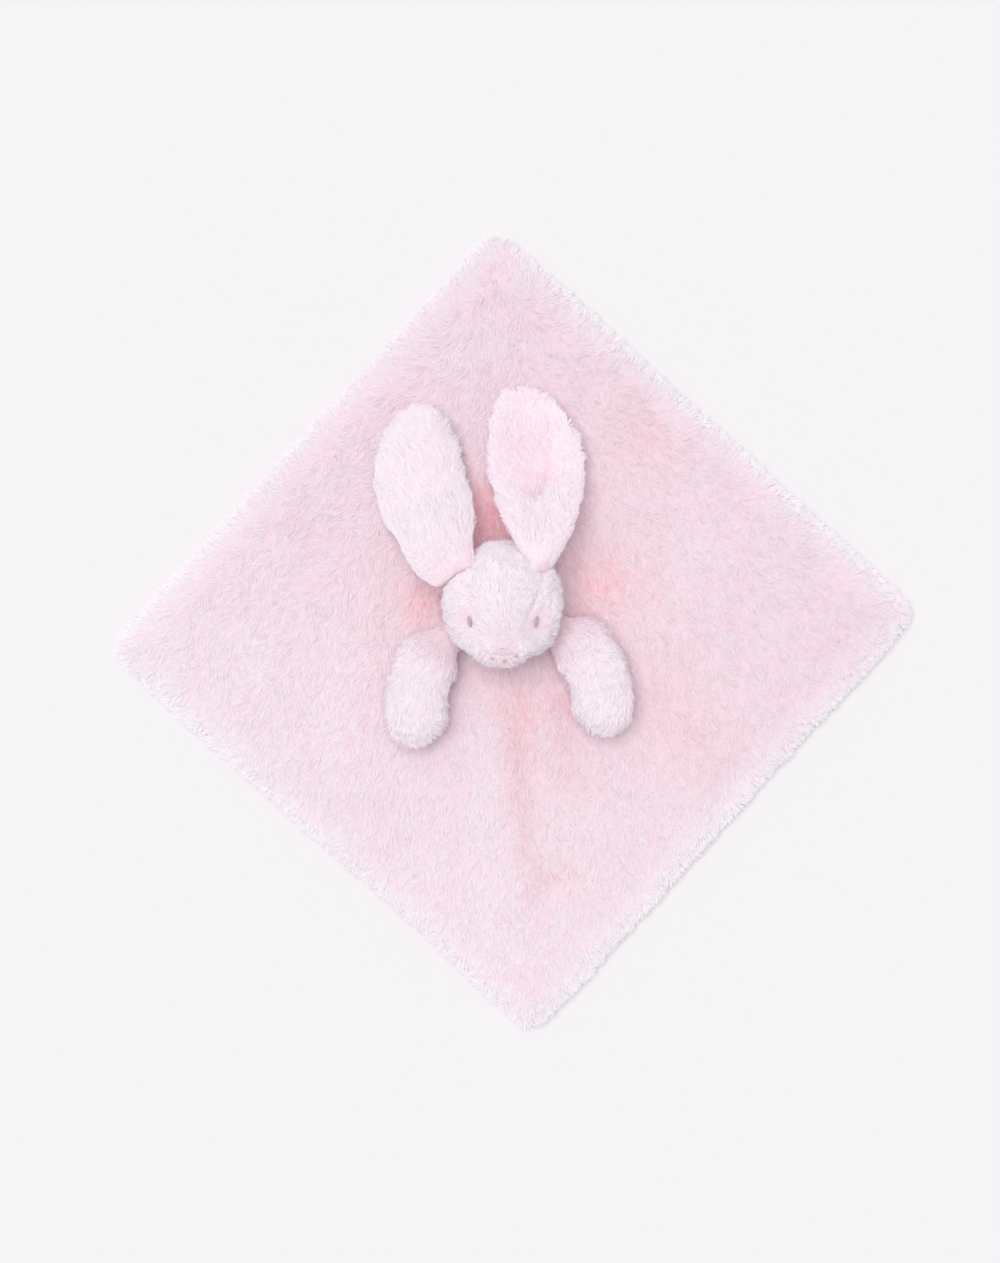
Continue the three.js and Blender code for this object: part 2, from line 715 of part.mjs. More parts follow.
// Each arm's root as shares of the head's half width, to the side of its middle and ahead of the neck, its
// heading there, how far it bends on the way to the paw, and its length as a share of armLength.
const armLies = {
  left: { sideShare: 0.87, aheadShare: -0.02, headingDeg: -20, bendDeg: -96, lengthShare: 1.0 },
  right: { sideShare: -0.89, aheadShare: -0.13, headingDeg: -143, bendDeg: 80, lengthShare: 0.96 },
};

const armEndShare = 0.012;      // how much of an arm's length its cover leaves open at each end
const armLow = blanketTop + touchGap;
const armFlatShare = Math.cos(Math.PI / armRoundSteps); // its flat underside, as a share of its half height

function armRoot(lie) {
  return point(
    headMiddleX + lie.sideShare * headHalfWidth,
    neckY + lie.aheadShare * headHalfWidth,
    armLow + armRootLift + armRootRadius * armFlatShare,
  );
}

// A point of an arm's surface moved in by inset: the root is a ball, the middle swells and the paw is round.
function armPoint(lie, along, around, inset) {
  const length = armLength * lie.lengthShare;
  const whole = length + armRootRadius;
  const distance = inset + along * (whole - 2 * inset) - armRootRadius;
  const root = armRoot(lie);
  const bend = radians(lie.bendDeg) * Math.max(0, distance / length);
  const heading = radians(lie.headingDeg) + bend;
  const chord = bend === 0 ? distance : (distance * Math.sin(bend / 2)) / (bend / 2);
  const swell = THREE.MathUtils.smoothstep(distance, 0, armSwellLength);
  const rootRadius = armRootRadius - inset;
  const start = distance < 0 ? Math.sqrt(Math.max(0, 1 - (distance / rootRadius) ** 2)) : 1;
  const width = start * (armRootHalfWidth - inset + (armHalfWidth - armRootHalfWidth) * swell);
  const height = start * (rootRadius + (armHalfHeight - armRootRadius) * swell);
  const tip = armTipRadius - inset;
  const past = (distance - (length - armTipRadius)) / tip;
  const round = past > 0 ? Math.sqrt(Math.max(0, 1 - past * past)) : 1;
  const middleZ = armLow + armRootLift * (1 - swell)
    + (armRootRadius + (armHalfHeight - armRootRadius) * swell) * armFlatShare;
  const middle = point(
    root.x + chord * Math.cos(heading - bend / 2),
    root.y + chord * Math.sin(heading - bend / 2),
    middleZ,
  );
  return middle
    .addScaledVector(point(Math.sin(heading), -Math.cos(heading), 0), width * round * Math.cos(around))
    .addScaledVector(point(0, 0, 1), height * round * Math.sin(around));
}

// Half of an arm's cover, from one side seam over the top (or under the arm) to the other.
function armPanel(lie, isUpper) {
  const from = isUpper ? 0 : Math.PI;
  const face = (inset) => (u, v) => {
    const along = armEndShare + u * (1 - 2 * armEndShare);
    const level = armPoint(lie, along, 0, coverThickness).distanceTo(
      armPoint(lie, along, Math.PI, coverThickness),
    );
    const seam = touchGap / Math.max(level, touchGap * 2);
    return armPoint(lie, along, from + seam + v * (Math.PI - 2 * seam), inset);
  };
  return clothPatch(face(0), face(coverThickness), armLongSteps, armRoundSteps / 2);
}

// The room that the head takes up, turned and nodded as far as it goes, seen from an arm at rest and lifted.
function headRoomFor(lie) {
  const heading = radians(lie.headingDeg + lie.bendDeg / 2);
  const hinge = point(Math.sin(heading), -Math.cos(heading), 0);
  let room = null;
  for (const turnDeg of [-headTurnDeg, headTurnDeg]) {
    for (const nodDeg of [0, headNodDeg]) {
      for (const liftDeg of [0, armLiftDeg]) {
        const form = headForm(-roomGrowth, roomLongSteps, roomRoundSteps);
        turnedAbout(form, neckCentre, across, nodDeg);
        turnedAbout(form, neckCentre, point(0, 0, 1), turnDeg);
        turnedAbout(form, armRoot(lie), hinge, -liftDeg);
        room = room ? room.add(toSolid(form)) : toSolid(form);
      }
    }
  }
  return toGeometry(room);
}

function addArms() {
  for (const side of ['left', 'right']) {
    const lie = armLies[side];
    const root = armRoot(lie);
    const arm = addJointGroup(lovey, root);
    const room = [headRoomFor(lie)];
    const filling = closedForm(
      (u, v) => armPoint(lie, u, v * 2 * Math.PI, coverThickness + fillingGap),
      armLongSteps,
      armRoundSteps,
    );
    addPiece(arm, `arm_${side}_upper_panel`, carve(armPanel(lie, true), room), cloth(colours.bunny));
    addPiece(arm, `arm_${side}_lower_panel`, carve(armPanel(lie, false), room), cloth(colours.bunny));
    addPiece(arm, `arm_${side}_filling`, carve(filling, room), cloth(colours.filling));
    const tackPlace = point(root.x, root.y, blanketTop + touchGap + armTackThread / 2);
    const tack = ringOfThread(armTackRingRadius, armTackThread, tackPlace, lie.headingDeg + 90,
      lie.headingDeg + 270);
    addPiece(lovey, `arm_${side}_tack`, tack, thread(colours.pinkThread));
  }
}

addBlanket();
const neck = addJointGroup(lovey, neckCentre);
const neckThreadPlace = point(neckCentre.x, neckCentre.y, blanketTop + touchGap + threadWidth / 2);
addPiece(neck, 'neck_thread', ringOfThread(neckThreadRingRadius, threadWidth, neckThreadPlace),
  thread(colours.pinkThread));
const head = addJointGroup(neck, neckCentre);
addHead(head);
addEars(head);
addArms();

export default lovey;
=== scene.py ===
"""Bunny lovey: a square plush blanket laid flat, with a stuffed head, two soft ears and two stuffed arms.

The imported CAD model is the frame. Every soft piece here is a surface worked out with numpy in millimetres and
written to its mesh in metres: a cloth or cover with its seams, and over it the pile, grown tuft by tuft.
"""

from __future__ import annotations

import logging
import math
from dataclasses import dataclass, field
from enum import Enum

import bpy
import numpy as np
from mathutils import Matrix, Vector

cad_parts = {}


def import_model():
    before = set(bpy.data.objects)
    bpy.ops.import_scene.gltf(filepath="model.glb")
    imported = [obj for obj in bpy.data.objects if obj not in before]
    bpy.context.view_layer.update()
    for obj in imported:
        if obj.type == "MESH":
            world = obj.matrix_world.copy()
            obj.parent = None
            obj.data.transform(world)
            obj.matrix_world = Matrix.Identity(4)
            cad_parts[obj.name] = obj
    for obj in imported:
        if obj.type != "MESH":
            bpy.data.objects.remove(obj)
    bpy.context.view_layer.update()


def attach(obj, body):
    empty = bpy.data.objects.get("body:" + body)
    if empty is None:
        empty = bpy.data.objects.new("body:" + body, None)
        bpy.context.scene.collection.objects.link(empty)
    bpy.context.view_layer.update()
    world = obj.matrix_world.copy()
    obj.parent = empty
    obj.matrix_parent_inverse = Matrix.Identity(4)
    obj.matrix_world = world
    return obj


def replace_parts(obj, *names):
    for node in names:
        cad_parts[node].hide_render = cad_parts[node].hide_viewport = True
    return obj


log = logging.getLogger("lovey")

MM = 0.001
MAP_NAME = "OFBake"
UP = np.array([0.0, 0.0, 1.0])
Array = np.ndarray
Pair = tuple[float, float]
Triple = tuple[float, float, float]

# A path steeper than this takes its side from +X. A ply's distance from its thread's middle and its radius are
# shares of the thread's radius.
STEEP = 0.8
PLY_OFF = 0.5
PLY_RADIUS = 0.52

# Satin stitch: a thread's steps and sides, its thickness and depth as shares of the row's width and the oval's
# height, and the least share of its thickness and length, squared.
SATIN_STEPS = 13
SATIN_SIDES = 6
SATIN_OVERLAP = 1.12
SATIN_SUNK = 0.35
SATIN_ENDS = 0.12
SATIN_SHORTEST = 0.04


class Side(Enum):
    """The bunny's own sides: its left is +X."""

    LEFT = 1
    RIGHT = -1

    @property
    def word(self) -> str:
        """The side's name, as node names have it."""
        return self.name.lower()


# ---------------------------------------------------------------- numbers and noise


def unit(vectors: Array) -> Array:
    """Each vector divided by its length."""
    return vectors / np.maximum(np.linalg.norm(vectors, axis=-1, keepdims=True), 1e-9)


def ramp(value: Array, low: float, high: float) -> Array:
    """A smooth step: 3t^2 - 2t^3, where t goes from 0 at low to 1 at high."""
    t = np.clip((value - low) / (high - low), 0, 1)
    return t * t * (3 - 2 * t)


def bell(distance: Array, radius: float) -> Array:
    """A bell curve: e to the power of minus the square of distance over radius."""
    return np.exp(-((distance / radius) ** 2))


def dot(a: Array, b: Array) -> Array:
    """The dot product along the last axis, kept as a column."""
    return (a * b).sum(-1, keepdims=True)


def flat_against(vectors: Array, normals: Array) -> Array:
    """The unit vectors' parts that lie in the surfaces with these normals."""
    return unit(vectors - dot(vectors, normals) * normals)


def turned(vectors: Array, axes: Array, angles: Array) -> Array:
    """Vectors turned about unit axes they stand square to: v cos a + (axis x v) sin a."""
    return vectors * np.cos(angles)[..., None] + np.cross(axes, vectors) * np.sin(angles)[..., None]


def turned_flat(x: Array, y: Array, angle: Array | float) -> tuple[Array, Array]:
    """Places turned about the upright axis: (x cos a - y sin a, x sin a + y cos a)."""
    return x * np.cos(angle) - y * np.sin(angle), x * np.sin(angle) + y * np.cos(angle)


def headed(heading: Array | float, z: float = 0.0) -> Array:
    """Level unit vectors along headings, counted in radians from +X towards +Y, with a given z."""
    return np.stack([np.cos(heading), np.sin(heading), np.full_like(heading, z, dtype=float)], -1)


class Ripple:
    """Smooth noise near one wavelength: a sum of sine waves with seeded directions and phases."""

    WAVES = 10
    LENGTHS = (0.7, 1.5)
    EVENING = 1.2

    def __init__(self, wavelength: float, seed: int) -> None:
        """Draws the waves.

        Args:
            wavelength: the mean length of a wave, in millimetres.
            seed: the seed of its random numbers.
        """
        rng = np.random.default_rng(seed)
        lengths = wavelength * rng.uniform(*self.LENGTHS, self.WAVES)
        self.vectors = unit(rng.normal(size=(self.WAVES, 3))) * (2 * math.pi / lengths)[:, None]
        self.phases = rng.uniform(0, 2 * math.pi, self.WAVES)

    def at(self, points: Array) -> Array:
        """The noise at points, mostly from -1 to 1."""
        return np.sin(points @ self.vectors.T + self.phases).sum(-1) / math.sqrt(self.WAVES / self.EVENING)


# ---------------------------------------------------------------- meshes


@dataclass
class Skin:
    """A sampled surface that pile grows from: points and outward normals on a grid, and a map of it."""

    points: Array
    normals: Array
    triangles: Array
    place: Array

    @staticmethod
    def of_grid(points: Array, closed_across: bool, flip: bool = False) -> "Skin":
        """A grid of points as a skin.

        Args:
            points: (rows, columns, 3), in millimetres.
            closed_across: whether the last column meets the first.
            flip: whether the normals point the other way.

        Returns:
            The skin, whose map place is (column, row) from 0 to 1.
        """
        rows, columns = points.shape[:2]
        across, along = np.gradient(points, axis=1), np.gradient(points, axis=0)
        if closed_across:
            across = np.roll(points, -1, 1) - np.roll(points, 1, 1)
        normals = unit(np.cross(across, along)) * (-1 if flip else 1)
        quads = grid_faces(np.arange(rows * columns).reshape(rows, columns), closed_across)
        triangles = np.concatenate([quads[:, [0, 1, 2]], quads[:, [0, 2, 3]]])
        place = np.stack(np.meshgrid(np.arange(columns) / columns, np.arange(rows) / (rows - 1)), -1)
        return Skin(points.reshape(-1, 3), normals.reshape(-1, 3), triangles, place.reshape(-1, 2))

    @staticmethod
    def of_mesh(mesh: bpy.types.Mesh, place: Array) -> "Skin":
        """A mesh as a skin.

        Args:
            mesh: the mesh, in metres.
            place: each point's place on the map.

        Returns:
            The skin, in millimetres.
        """
        mesh.calc_loop_triangles()
        normals = read_floats(mesh.vertex_normals, "vector", 3)
        triangles = np.empty(len(mesh.loop_triangles) * 3, dtype=np.int32)
        mesh.loop_triangles.foreach_get("vertices", triangles)
        return Skin(read_points(mesh), normals, triangles.reshape(-1, 3), place)


def read_floats(items: bpy.types.bpy_prop_collection, key: str, width: int) -> Array:
    """A number or vector of every item in a collection, as rows."""
    values = np.empty(len(items) * width, dtype=np.float32)
    items.foreach_get(key, values)
    return values.reshape(-1, width).astype(float)


def read_points(mesh: bpy.types.Mesh) -> Array:
    """A mesh's points in millimetres."""
    return read_floats(mesh.vertices, "co", 3) / MM


def write_mesh(name: str, points: Array, faces: list | Array, smooth: bool = True) -> bpy.types.Object:
    """An object in the scene with a mesh of these points and faces.

    Args:
        name: the piece's name.
        points: (n, 3), in millimetres in the part's frame.
        faces: the faces' point numbers, their order as seen from outside.
        smooth: whether its faces are shaded smooth.

    Returns:
        The object, at the origin.
    """
    mesh = bpy.data.meshes.new(name)
    mesh.from_pydata((points * MM).tolist(), [], faces.tolist() if isinstance(faces, np.ndarray) else faces)
    mesh.update()
    if smooth:
        mesh.shade_smooth()
    obj = bpy.data.objects.new(name, mesh)
    bpy.context.scene.collection.objects.link(obj)
    return obj


def grid_faces(number: Array, closed_across: bool = False, closed_along: bool = False) -> Array:
    """Four-sided faces between the rows of a grid of point numbers.

    Args:
        number: (rows, columns).
        closed_across: whether the last column meets the first.
        closed_along: whether the last row meets the first.

    Returns:
        (faces, 4), row by row.
    """
    following = np.roll(number, -1, 0)
    faces = np.stack([number, np.roll(number, -1, 1), np.roll(following, -1, 1), following], -1)
    return faces[:None if closed_along else -1, :None if closed_across else -1].reshape(-1, 4)


def outward(points: Array, faces: list) -> list:
    """The faces of a closed body, all turned round if its volume comes out negative.

    Args:
        points: (n, 3), the body's points.
        faces: the faces' point numbers.

    Returns:
        The faces.
    """
    corners = np.array([face[:3] for face in faces])
    a, b, c = (points[corners[:, k]] for k in range(3))
    fan = [(face[0], face[2], face[3]) for face in faces if len(face) == 4]
    volume = (a * np.cross(b, c)).sum()
    if fan:
        e, f, g = (points[np.array(fan)[:, k]] for k in range(3))
        volume += (e * np.cross(f, g)).sum()
    return [face[::-1] for face in faces] if volume < 0 else faces


def closed_form(name: str, rings: Array, start: Array, end: Array) -> bpy.types.Object:
    """A closed body whose rings run between two poles.

    Args:
        name: the piece's name.
        rings: (rings, points in a ring, 3).
        start: the pole before the first ring.
        end: the pole after the last ring.

    Returns:
        The object.
    """
    count, around = rings.shape[:2]
    points = np.concatenate([start[None], rings.reshape(-1, 3), end[None]])
    number = 1 + np.arange(count * around).reshape(count, around)
    faces = grid_faces(number, closed_across=True).tolist()
    first, last = number[0], number[-1]
    faces += np.stack([np.zeros_like(first), np.roll(first, -1), first], -1).tolist()
    faces += np.stack([np.full_like(last, len(points) - 1), last, np.roll(last, -1)], -1).tolist()
    return write_mesh(name, points, outward(points, faces))


def cloth_panel(name: str, outer: Array, inner: Array) -> bpy.types.Object:
    """A closed piece of cloth between two grids of points that have the same shape.

    Args:
        name: the piece's name.
        outer: (rows, columns, 3), the outer face.
        inner: (rows, columns, 3), the inner face.

    Returns:
        The object.
    """
    rows, columns = outer.shape[:2]
    points = np.concatenate([outer.reshape(-1, 3), inner.reshape(-1, 3)])
    top = np.arange(rows * columns).reshape(rows, columns)
    under = top + rows * columns
    grids = [top, under[::-1]]
    for edge, way in ((0, 1), (-1, -1)):
        grids += [np.stack([under[edge], top[edge]][::way]), np.stack([top[:, edge], under[:, edge]][::way])]
    faces = np.concatenate([grid_faces(grid) for grid in grids]).tolist()
    return write_mesh(name, points, outward(points, faces))


def frame_along(path: Array, closed: bool) -> tuple[Array, Array]:
    """For each point of a path, a unit vector to its side and one square to both, without sudden twists.

    Args:
        path: (n, 3).
        closed: whether the path comes back to its start.

    Returns:
        The two vectors, each (n, 3).
    """
    ahead = unit(np.roll(path, -1, 0) - np.roll(path, 1, 0)) if closed else unit(np.gradient(path, axis=0))
    level = np.where(np.abs(ahead[:, 2:]) > STEEP, np.array([1.0, 0, 0]), UP)
    side = unit(np.cross(ahead, level))
    return side, np.cross(side, ahead)


def tube(middle: Array, side: Array, rise: Array, sides: int) -> Array:
    """Rings round a path's points: middle + side * cos a + rise * sin a, for each corner's angle a."""
    corner = (2 * math.pi * np.arange(sides) / sides)[:, None]
    return middle[:, None] + side[:, None] * np.cos(corner) + rise[:, None] * np.sin(corner)


def tubes(name: str, rings: Array, closed: bool = False) -> bpy.types.Object:
    """An object of one or more tubes.

    Args:
        name: the piece's name.
        rings: (tubes, rings of a tube, points in a ring, 3).
        closed: whether each tube comes back to its start. Otherwise a lid closes each end.

    Returns:
        The object, with one closed body for each tube.
    """
    faces: list = []
    for number in np.arange(rings[..., 0].size).reshape(rings.shape[:3]):
        faces += grid_faces(number, True, closed).tolist()
        faces += [] if closed else [number[0][::-1].tolist(), number[-1].tolist()]
    points = rings.reshape(-1, 3)
    return write_mesh(name, points, outward(points - points.mean(0), faces))


def twisted_thread(name: str, path: Array, radius: float, pitch: float, closed: bool = False,
                   plies: int = 2, sides: int = 6) -> bpy.types.Object:
    """A thread of several plies wound round a path.

    Each ply is a tube whose middle circles the path once every pitch. Its distance from the path and its own
    radius are the shares PLY_OFF and PLY_RADIUS of the thread's radius.

    Args:
        name: the piece's name.
        path: (n, 3), evenly spaced.
        radius: the whole thread's radius.
        pitch: how far along one turn takes.
        closed: whether the path comes back to its start.
        plies: how many plies it has.
        sides: how many sides a ply's section has.

    Returns:
        The object, with one closed body for each ply.
    """
    side, rise = frame_along(path, closed)
    step = np.linalg.norm(np.diff(path, axis=0), axis=1)
    run = np.concatenate([[0], np.cumsum(step)])
    turns = np.round(run[-1] / pitch) / run[-1] if closed else 1 / pitch
    bodies = []
    for ply in range(plies):
        angle = (2 * math.pi * (run * turns + ply / plies))[:, None]
        middle = path + (side * np.cos(angle) + rise * np.sin(angle)) * radius * PLY_OFF
        bodies.append(tube(middle, side * radius * PLY_RADIUS, rise * radius * PLY_RADIUS, sides))
    return tubes(name, np.array(bodies), closed)


# ---------------------------------------------------------------- stuffed covers


@dataclass(frozen=True)
class Swelling:
    """How a stuffed cover is made: a slightly small cover, blown up by a short cloth simulation."""

    voxel: float = 3.6
    pressure: float = 4.0
    point_mass: float = 0.001
    growth: float = 0.06
    frames: int = 20
    most: float = 4.0

    def evaluated(self, obj: bpy.types.Object) -> bpy.types.Mesh:
        """The mesh that an object's modifiers make at the present frame."""
        graph = bpy.context.evaluated_depsgraph_get()
        return bpy.data.meshes.new_from_object(obj.evaluated_get(graph))

    def refined(self, obj: bpy.types.Object, kind: str, **settings: object) -> None:
        """Replaces an object's mesh by what one modifier makes of it.

        Args:
            obj: the object.
            kind: the modifier's type.
            **settings: the modifier's settings by name.
        """
        modifier = obj.modifiers.new("step", kind)
        for key, value in settings.items():
            setattr(modifier, key, value)
        mesh = self.evaluated(obj)
        obj.modifiers.clear()
        obj.data = mesh

    def swell(self, cover: bpy.types.Object) -> bpy.types.Object:
        """The cover after the simulation.

        The cover is remeshed evenly, its cloth is cut larger than it by the growth, and it is filled with
        pressure without gravity for the frames. No point moves further than the most, and one subdivision
        smooths it.

        Args:
            cover: a closed cover, a little smaller than it is to be.
        """
        scene = bpy.context.scene
        self.refined(cover, "REMESH", mode="VOXEL", voxel_size=self.voxel * MM)
        start = read_points(cover.data)
        scene.frame_set(1)
        modifier = cover.modifiers.new("cloth", "CLOTH")
        cloth = modifier.settings
        cloth.use_pressure = True
        cloth.uniform_pressure_force = self.pressure
        cloth.mass = self.point_mass
        cloth.shrink_min = -self.growth
        cloth.effector_weights.gravity = 0
        modifier.point_cache.frame_end = self.frames
        for frame in range(1, self.frames + 1):
            scene.frame_set(frame)
        moved = read_points(self.evaluated(cover)) - start
        cover.modifiers.clear()
        scene.frame_set(1)
        far = np.linalg.norm(moved, axis=1, keepdims=True)
        points = start + moved * np.minimum(1, self.most / np.maximum(far, 1e-9))
        log.info("%s: the cloth moved %.1f mm on average, %.1f mm at most", cover.name, far.mean(), far.max())
        reshape(cover, points)
        self.refined(cover, "SUBSURF", levels=1, render_levels=1)
        return cover


def reshape(obj: bpy.types.Object, points: Array) -> None:
    """Moves an object's points to new places in millimetres and shades it smooth."""
    obj.data.vertices.foreach_set("co", (points * MM).astype(np.float32).reshape(-1))
    obj.data.update()
    obj.data.shade_smooth()


# ---------------------------------------------------------------- pile


@dataclass(frozen=True)
class Pile:
    """How a plush's pile grows. Sizes are in millimetres and angles in degrees.

    Guard hairs are a share of the tufts that stand up and are thinner. Tufts vary at random, with the slow
    noises wander, depth and swirl, and with the lock that they belong to.
    """

    spacing: float
    length: float
    width: float
    rise: float = 30.0
    lie: float = 4.0
    stray: float = 15.0
    vary: float = 0.24
    knee: float = 0.42
    sink: float = 0.3
    clump: float = 0.3
    clump_size: float = 5.0
    guard_share: float = 0.12
    guard_rise: float = 9.0
    unruly: float = 0.55
    lock_size: float = 2.6
    lock_pull: float = 0.45
    lock_tone: float = 0.13
    lock_rise: float = 2.5
    lock_lie: float = 0.5
    knee_pull: float = 0.4
    wander_size: float = 2.2
    depth_size: float = 1.3
    swirl_length: float = 38.0
    wander_turn: float = 1.1
    swirl_turn: float = 0.9
    shortest: float = 0.3
    widths: Pair = (0.7, 1.25)
    guard_width: float = 0.7
    rise_vary: float = 2.5
    lie_vary: float = 1.5
    curl_vary: float = 0.15
    tint_vary: float = 0.18
    depth_length: float = 0.08
    depth_rise: float = 1.8
    depth_lie: float = 1.5
    depth_tint: float = 0.06


@dataclass
class Tufts:
    """Tufts ready for a mesh: a root, two shoulders and a tip each, which close to a bent flat body.

    ROUNDNESS is how far the shading leans out at the shoulders and SKYWARD how far it leans to the sky. ALONG
    and MAP_STEPS are each corner's share of the length and its place on the map in pixels. MOST is how many
    tufts a piece may have.
    """

    points: Array
    tint: Array
    # Above 0 the pile is painted pinker, mostly as painted shade; below 0 it is painted paler, as painted
    # light.
    blush: Array
    place: Array
    normals: Array

    ROUNDNESS = 0.38
    SKYWARD = 0.7
    ALONG = np.array([0.0, 0.5, 0.5, 1.0])
    FACES = np.array([[0, 2, 1], [3, 1, 2], [0, 1, 3], [0, 3, 2]])
    UNDER = (2, 3)
    MAP_STEPS = np.array([[0.0, -1.1], [-0.9, 0.0], [0.9, 0.0], [0.0, 1.6]])
    MARGIN = 0.02
    MOST = 46_000

    def some(self, chosen: Array) -> "Tufts":
        """Only the chosen tufts."""
        given = (self.points, self.tint, self.blush, self.place, self.normals)
        return Tufts(*(values[chosen] for values in given))

    def shading(self) -> Array:
        """A normal for each face's corners.

        On the two upper faces it is the cloth's own, leant a little towards the sky, so that light falls
        softly on the pile as a whole, and it leans out at the shoulders, so that a tuft looks round. The two
        under faces keep theirs.

        Returns:
            (corners, 3).
        """
        p = self.points
        side = unit(p[:, 2] - p[:, 1]) * self.ROUNDNESS
        out = unit(self.normals + self.SKYWARD * UP)
        soft = unit(np.stack([out, out - side, out + side, out], 1))
        corners = soft[:, self.FACES]
        for face in self.UNDER:
            a, b, c = (p[:, k] for k in self.FACES[face])
            corners[:, face] = unit(np.cross(b - a, c - a))[:, None]
        return corners.reshape(-1, 3)

    def write(self, name: str, map_size: int) -> bpy.types.Object:
        """One mesh of all tufts, each a closed body of four faces.

        Args:
            name: the piece's name.
            map_size: about how many pixels a side a picture of the piece's map is taken to have.

        Returns:
            The object, with the attributes along and tint, the attribute of painted shade and light, and its
            own map.
        """
        count = len(self.points)
        faces = (self.FACES[None] + 4 * np.arange(count)[:, None, None]).reshape(-1, 3)
        obj = write_mesh(name, self.points.reshape(-1, 3), faces)
        corners = len(self.ALONG)
        for title, values in (
            ("along", np.tile(self.ALONG, count)), ("tint", np.repeat(self.tint, corners)),
            ("blush", np.repeat(self.blush, corners)),
        ):
            attribute = obj.data.attributes.new(title, "FLOAT", "POINT")
            attribute.data.foreach_set("value", values.astype(np.float32))
        low, high = self.place.min(0), self.place.max(0)
        place = self.MARGIN + (1 - 2 * self.MARGIN) * (self.place - low) / np.maximum(high - low, 1e-6)
        spots = place[:, None] + self.MAP_STEPS[None] / map_size
        layer = obj.data.uv_layers.new(name=MAP_NAME)
        layer.data.foreach_set("uv", spots.reshape(-1, 2)[faces.reshape(-1)].astype(np.float32).reshape(-1))
        obj.data.normals_split_custom_set(self.shading())
        return obj

    def pieces(self, name: str, map_size: int, by: Array) -> list[bpy.types.Object]:
        """The tufts as meshes of at most MOST tufts, parted along the values by."""
        parts = max(1, math.ceil(len(self.points) / self.MOST))
        chosen = np.array_split(np.argsort(by, kind="stable"), parts)
        return [self.some(part).write(f"{name}_{i + 1}", map_size) for i, part in enumerate(chosen)]


@dataclass
class Roots:
    """Where tufts grow: their places, the surface's normals, the way they lie and their place on the map."""

    points: Array
    normals: Array
    flows: Array
    place: Array
    length: Array | float = 1.0
    # Above 0 the pile is painted pinker, mostly as painted shade; below 0 it is painted paler, as painted
    # light.
    blush: Array | float = 0.0


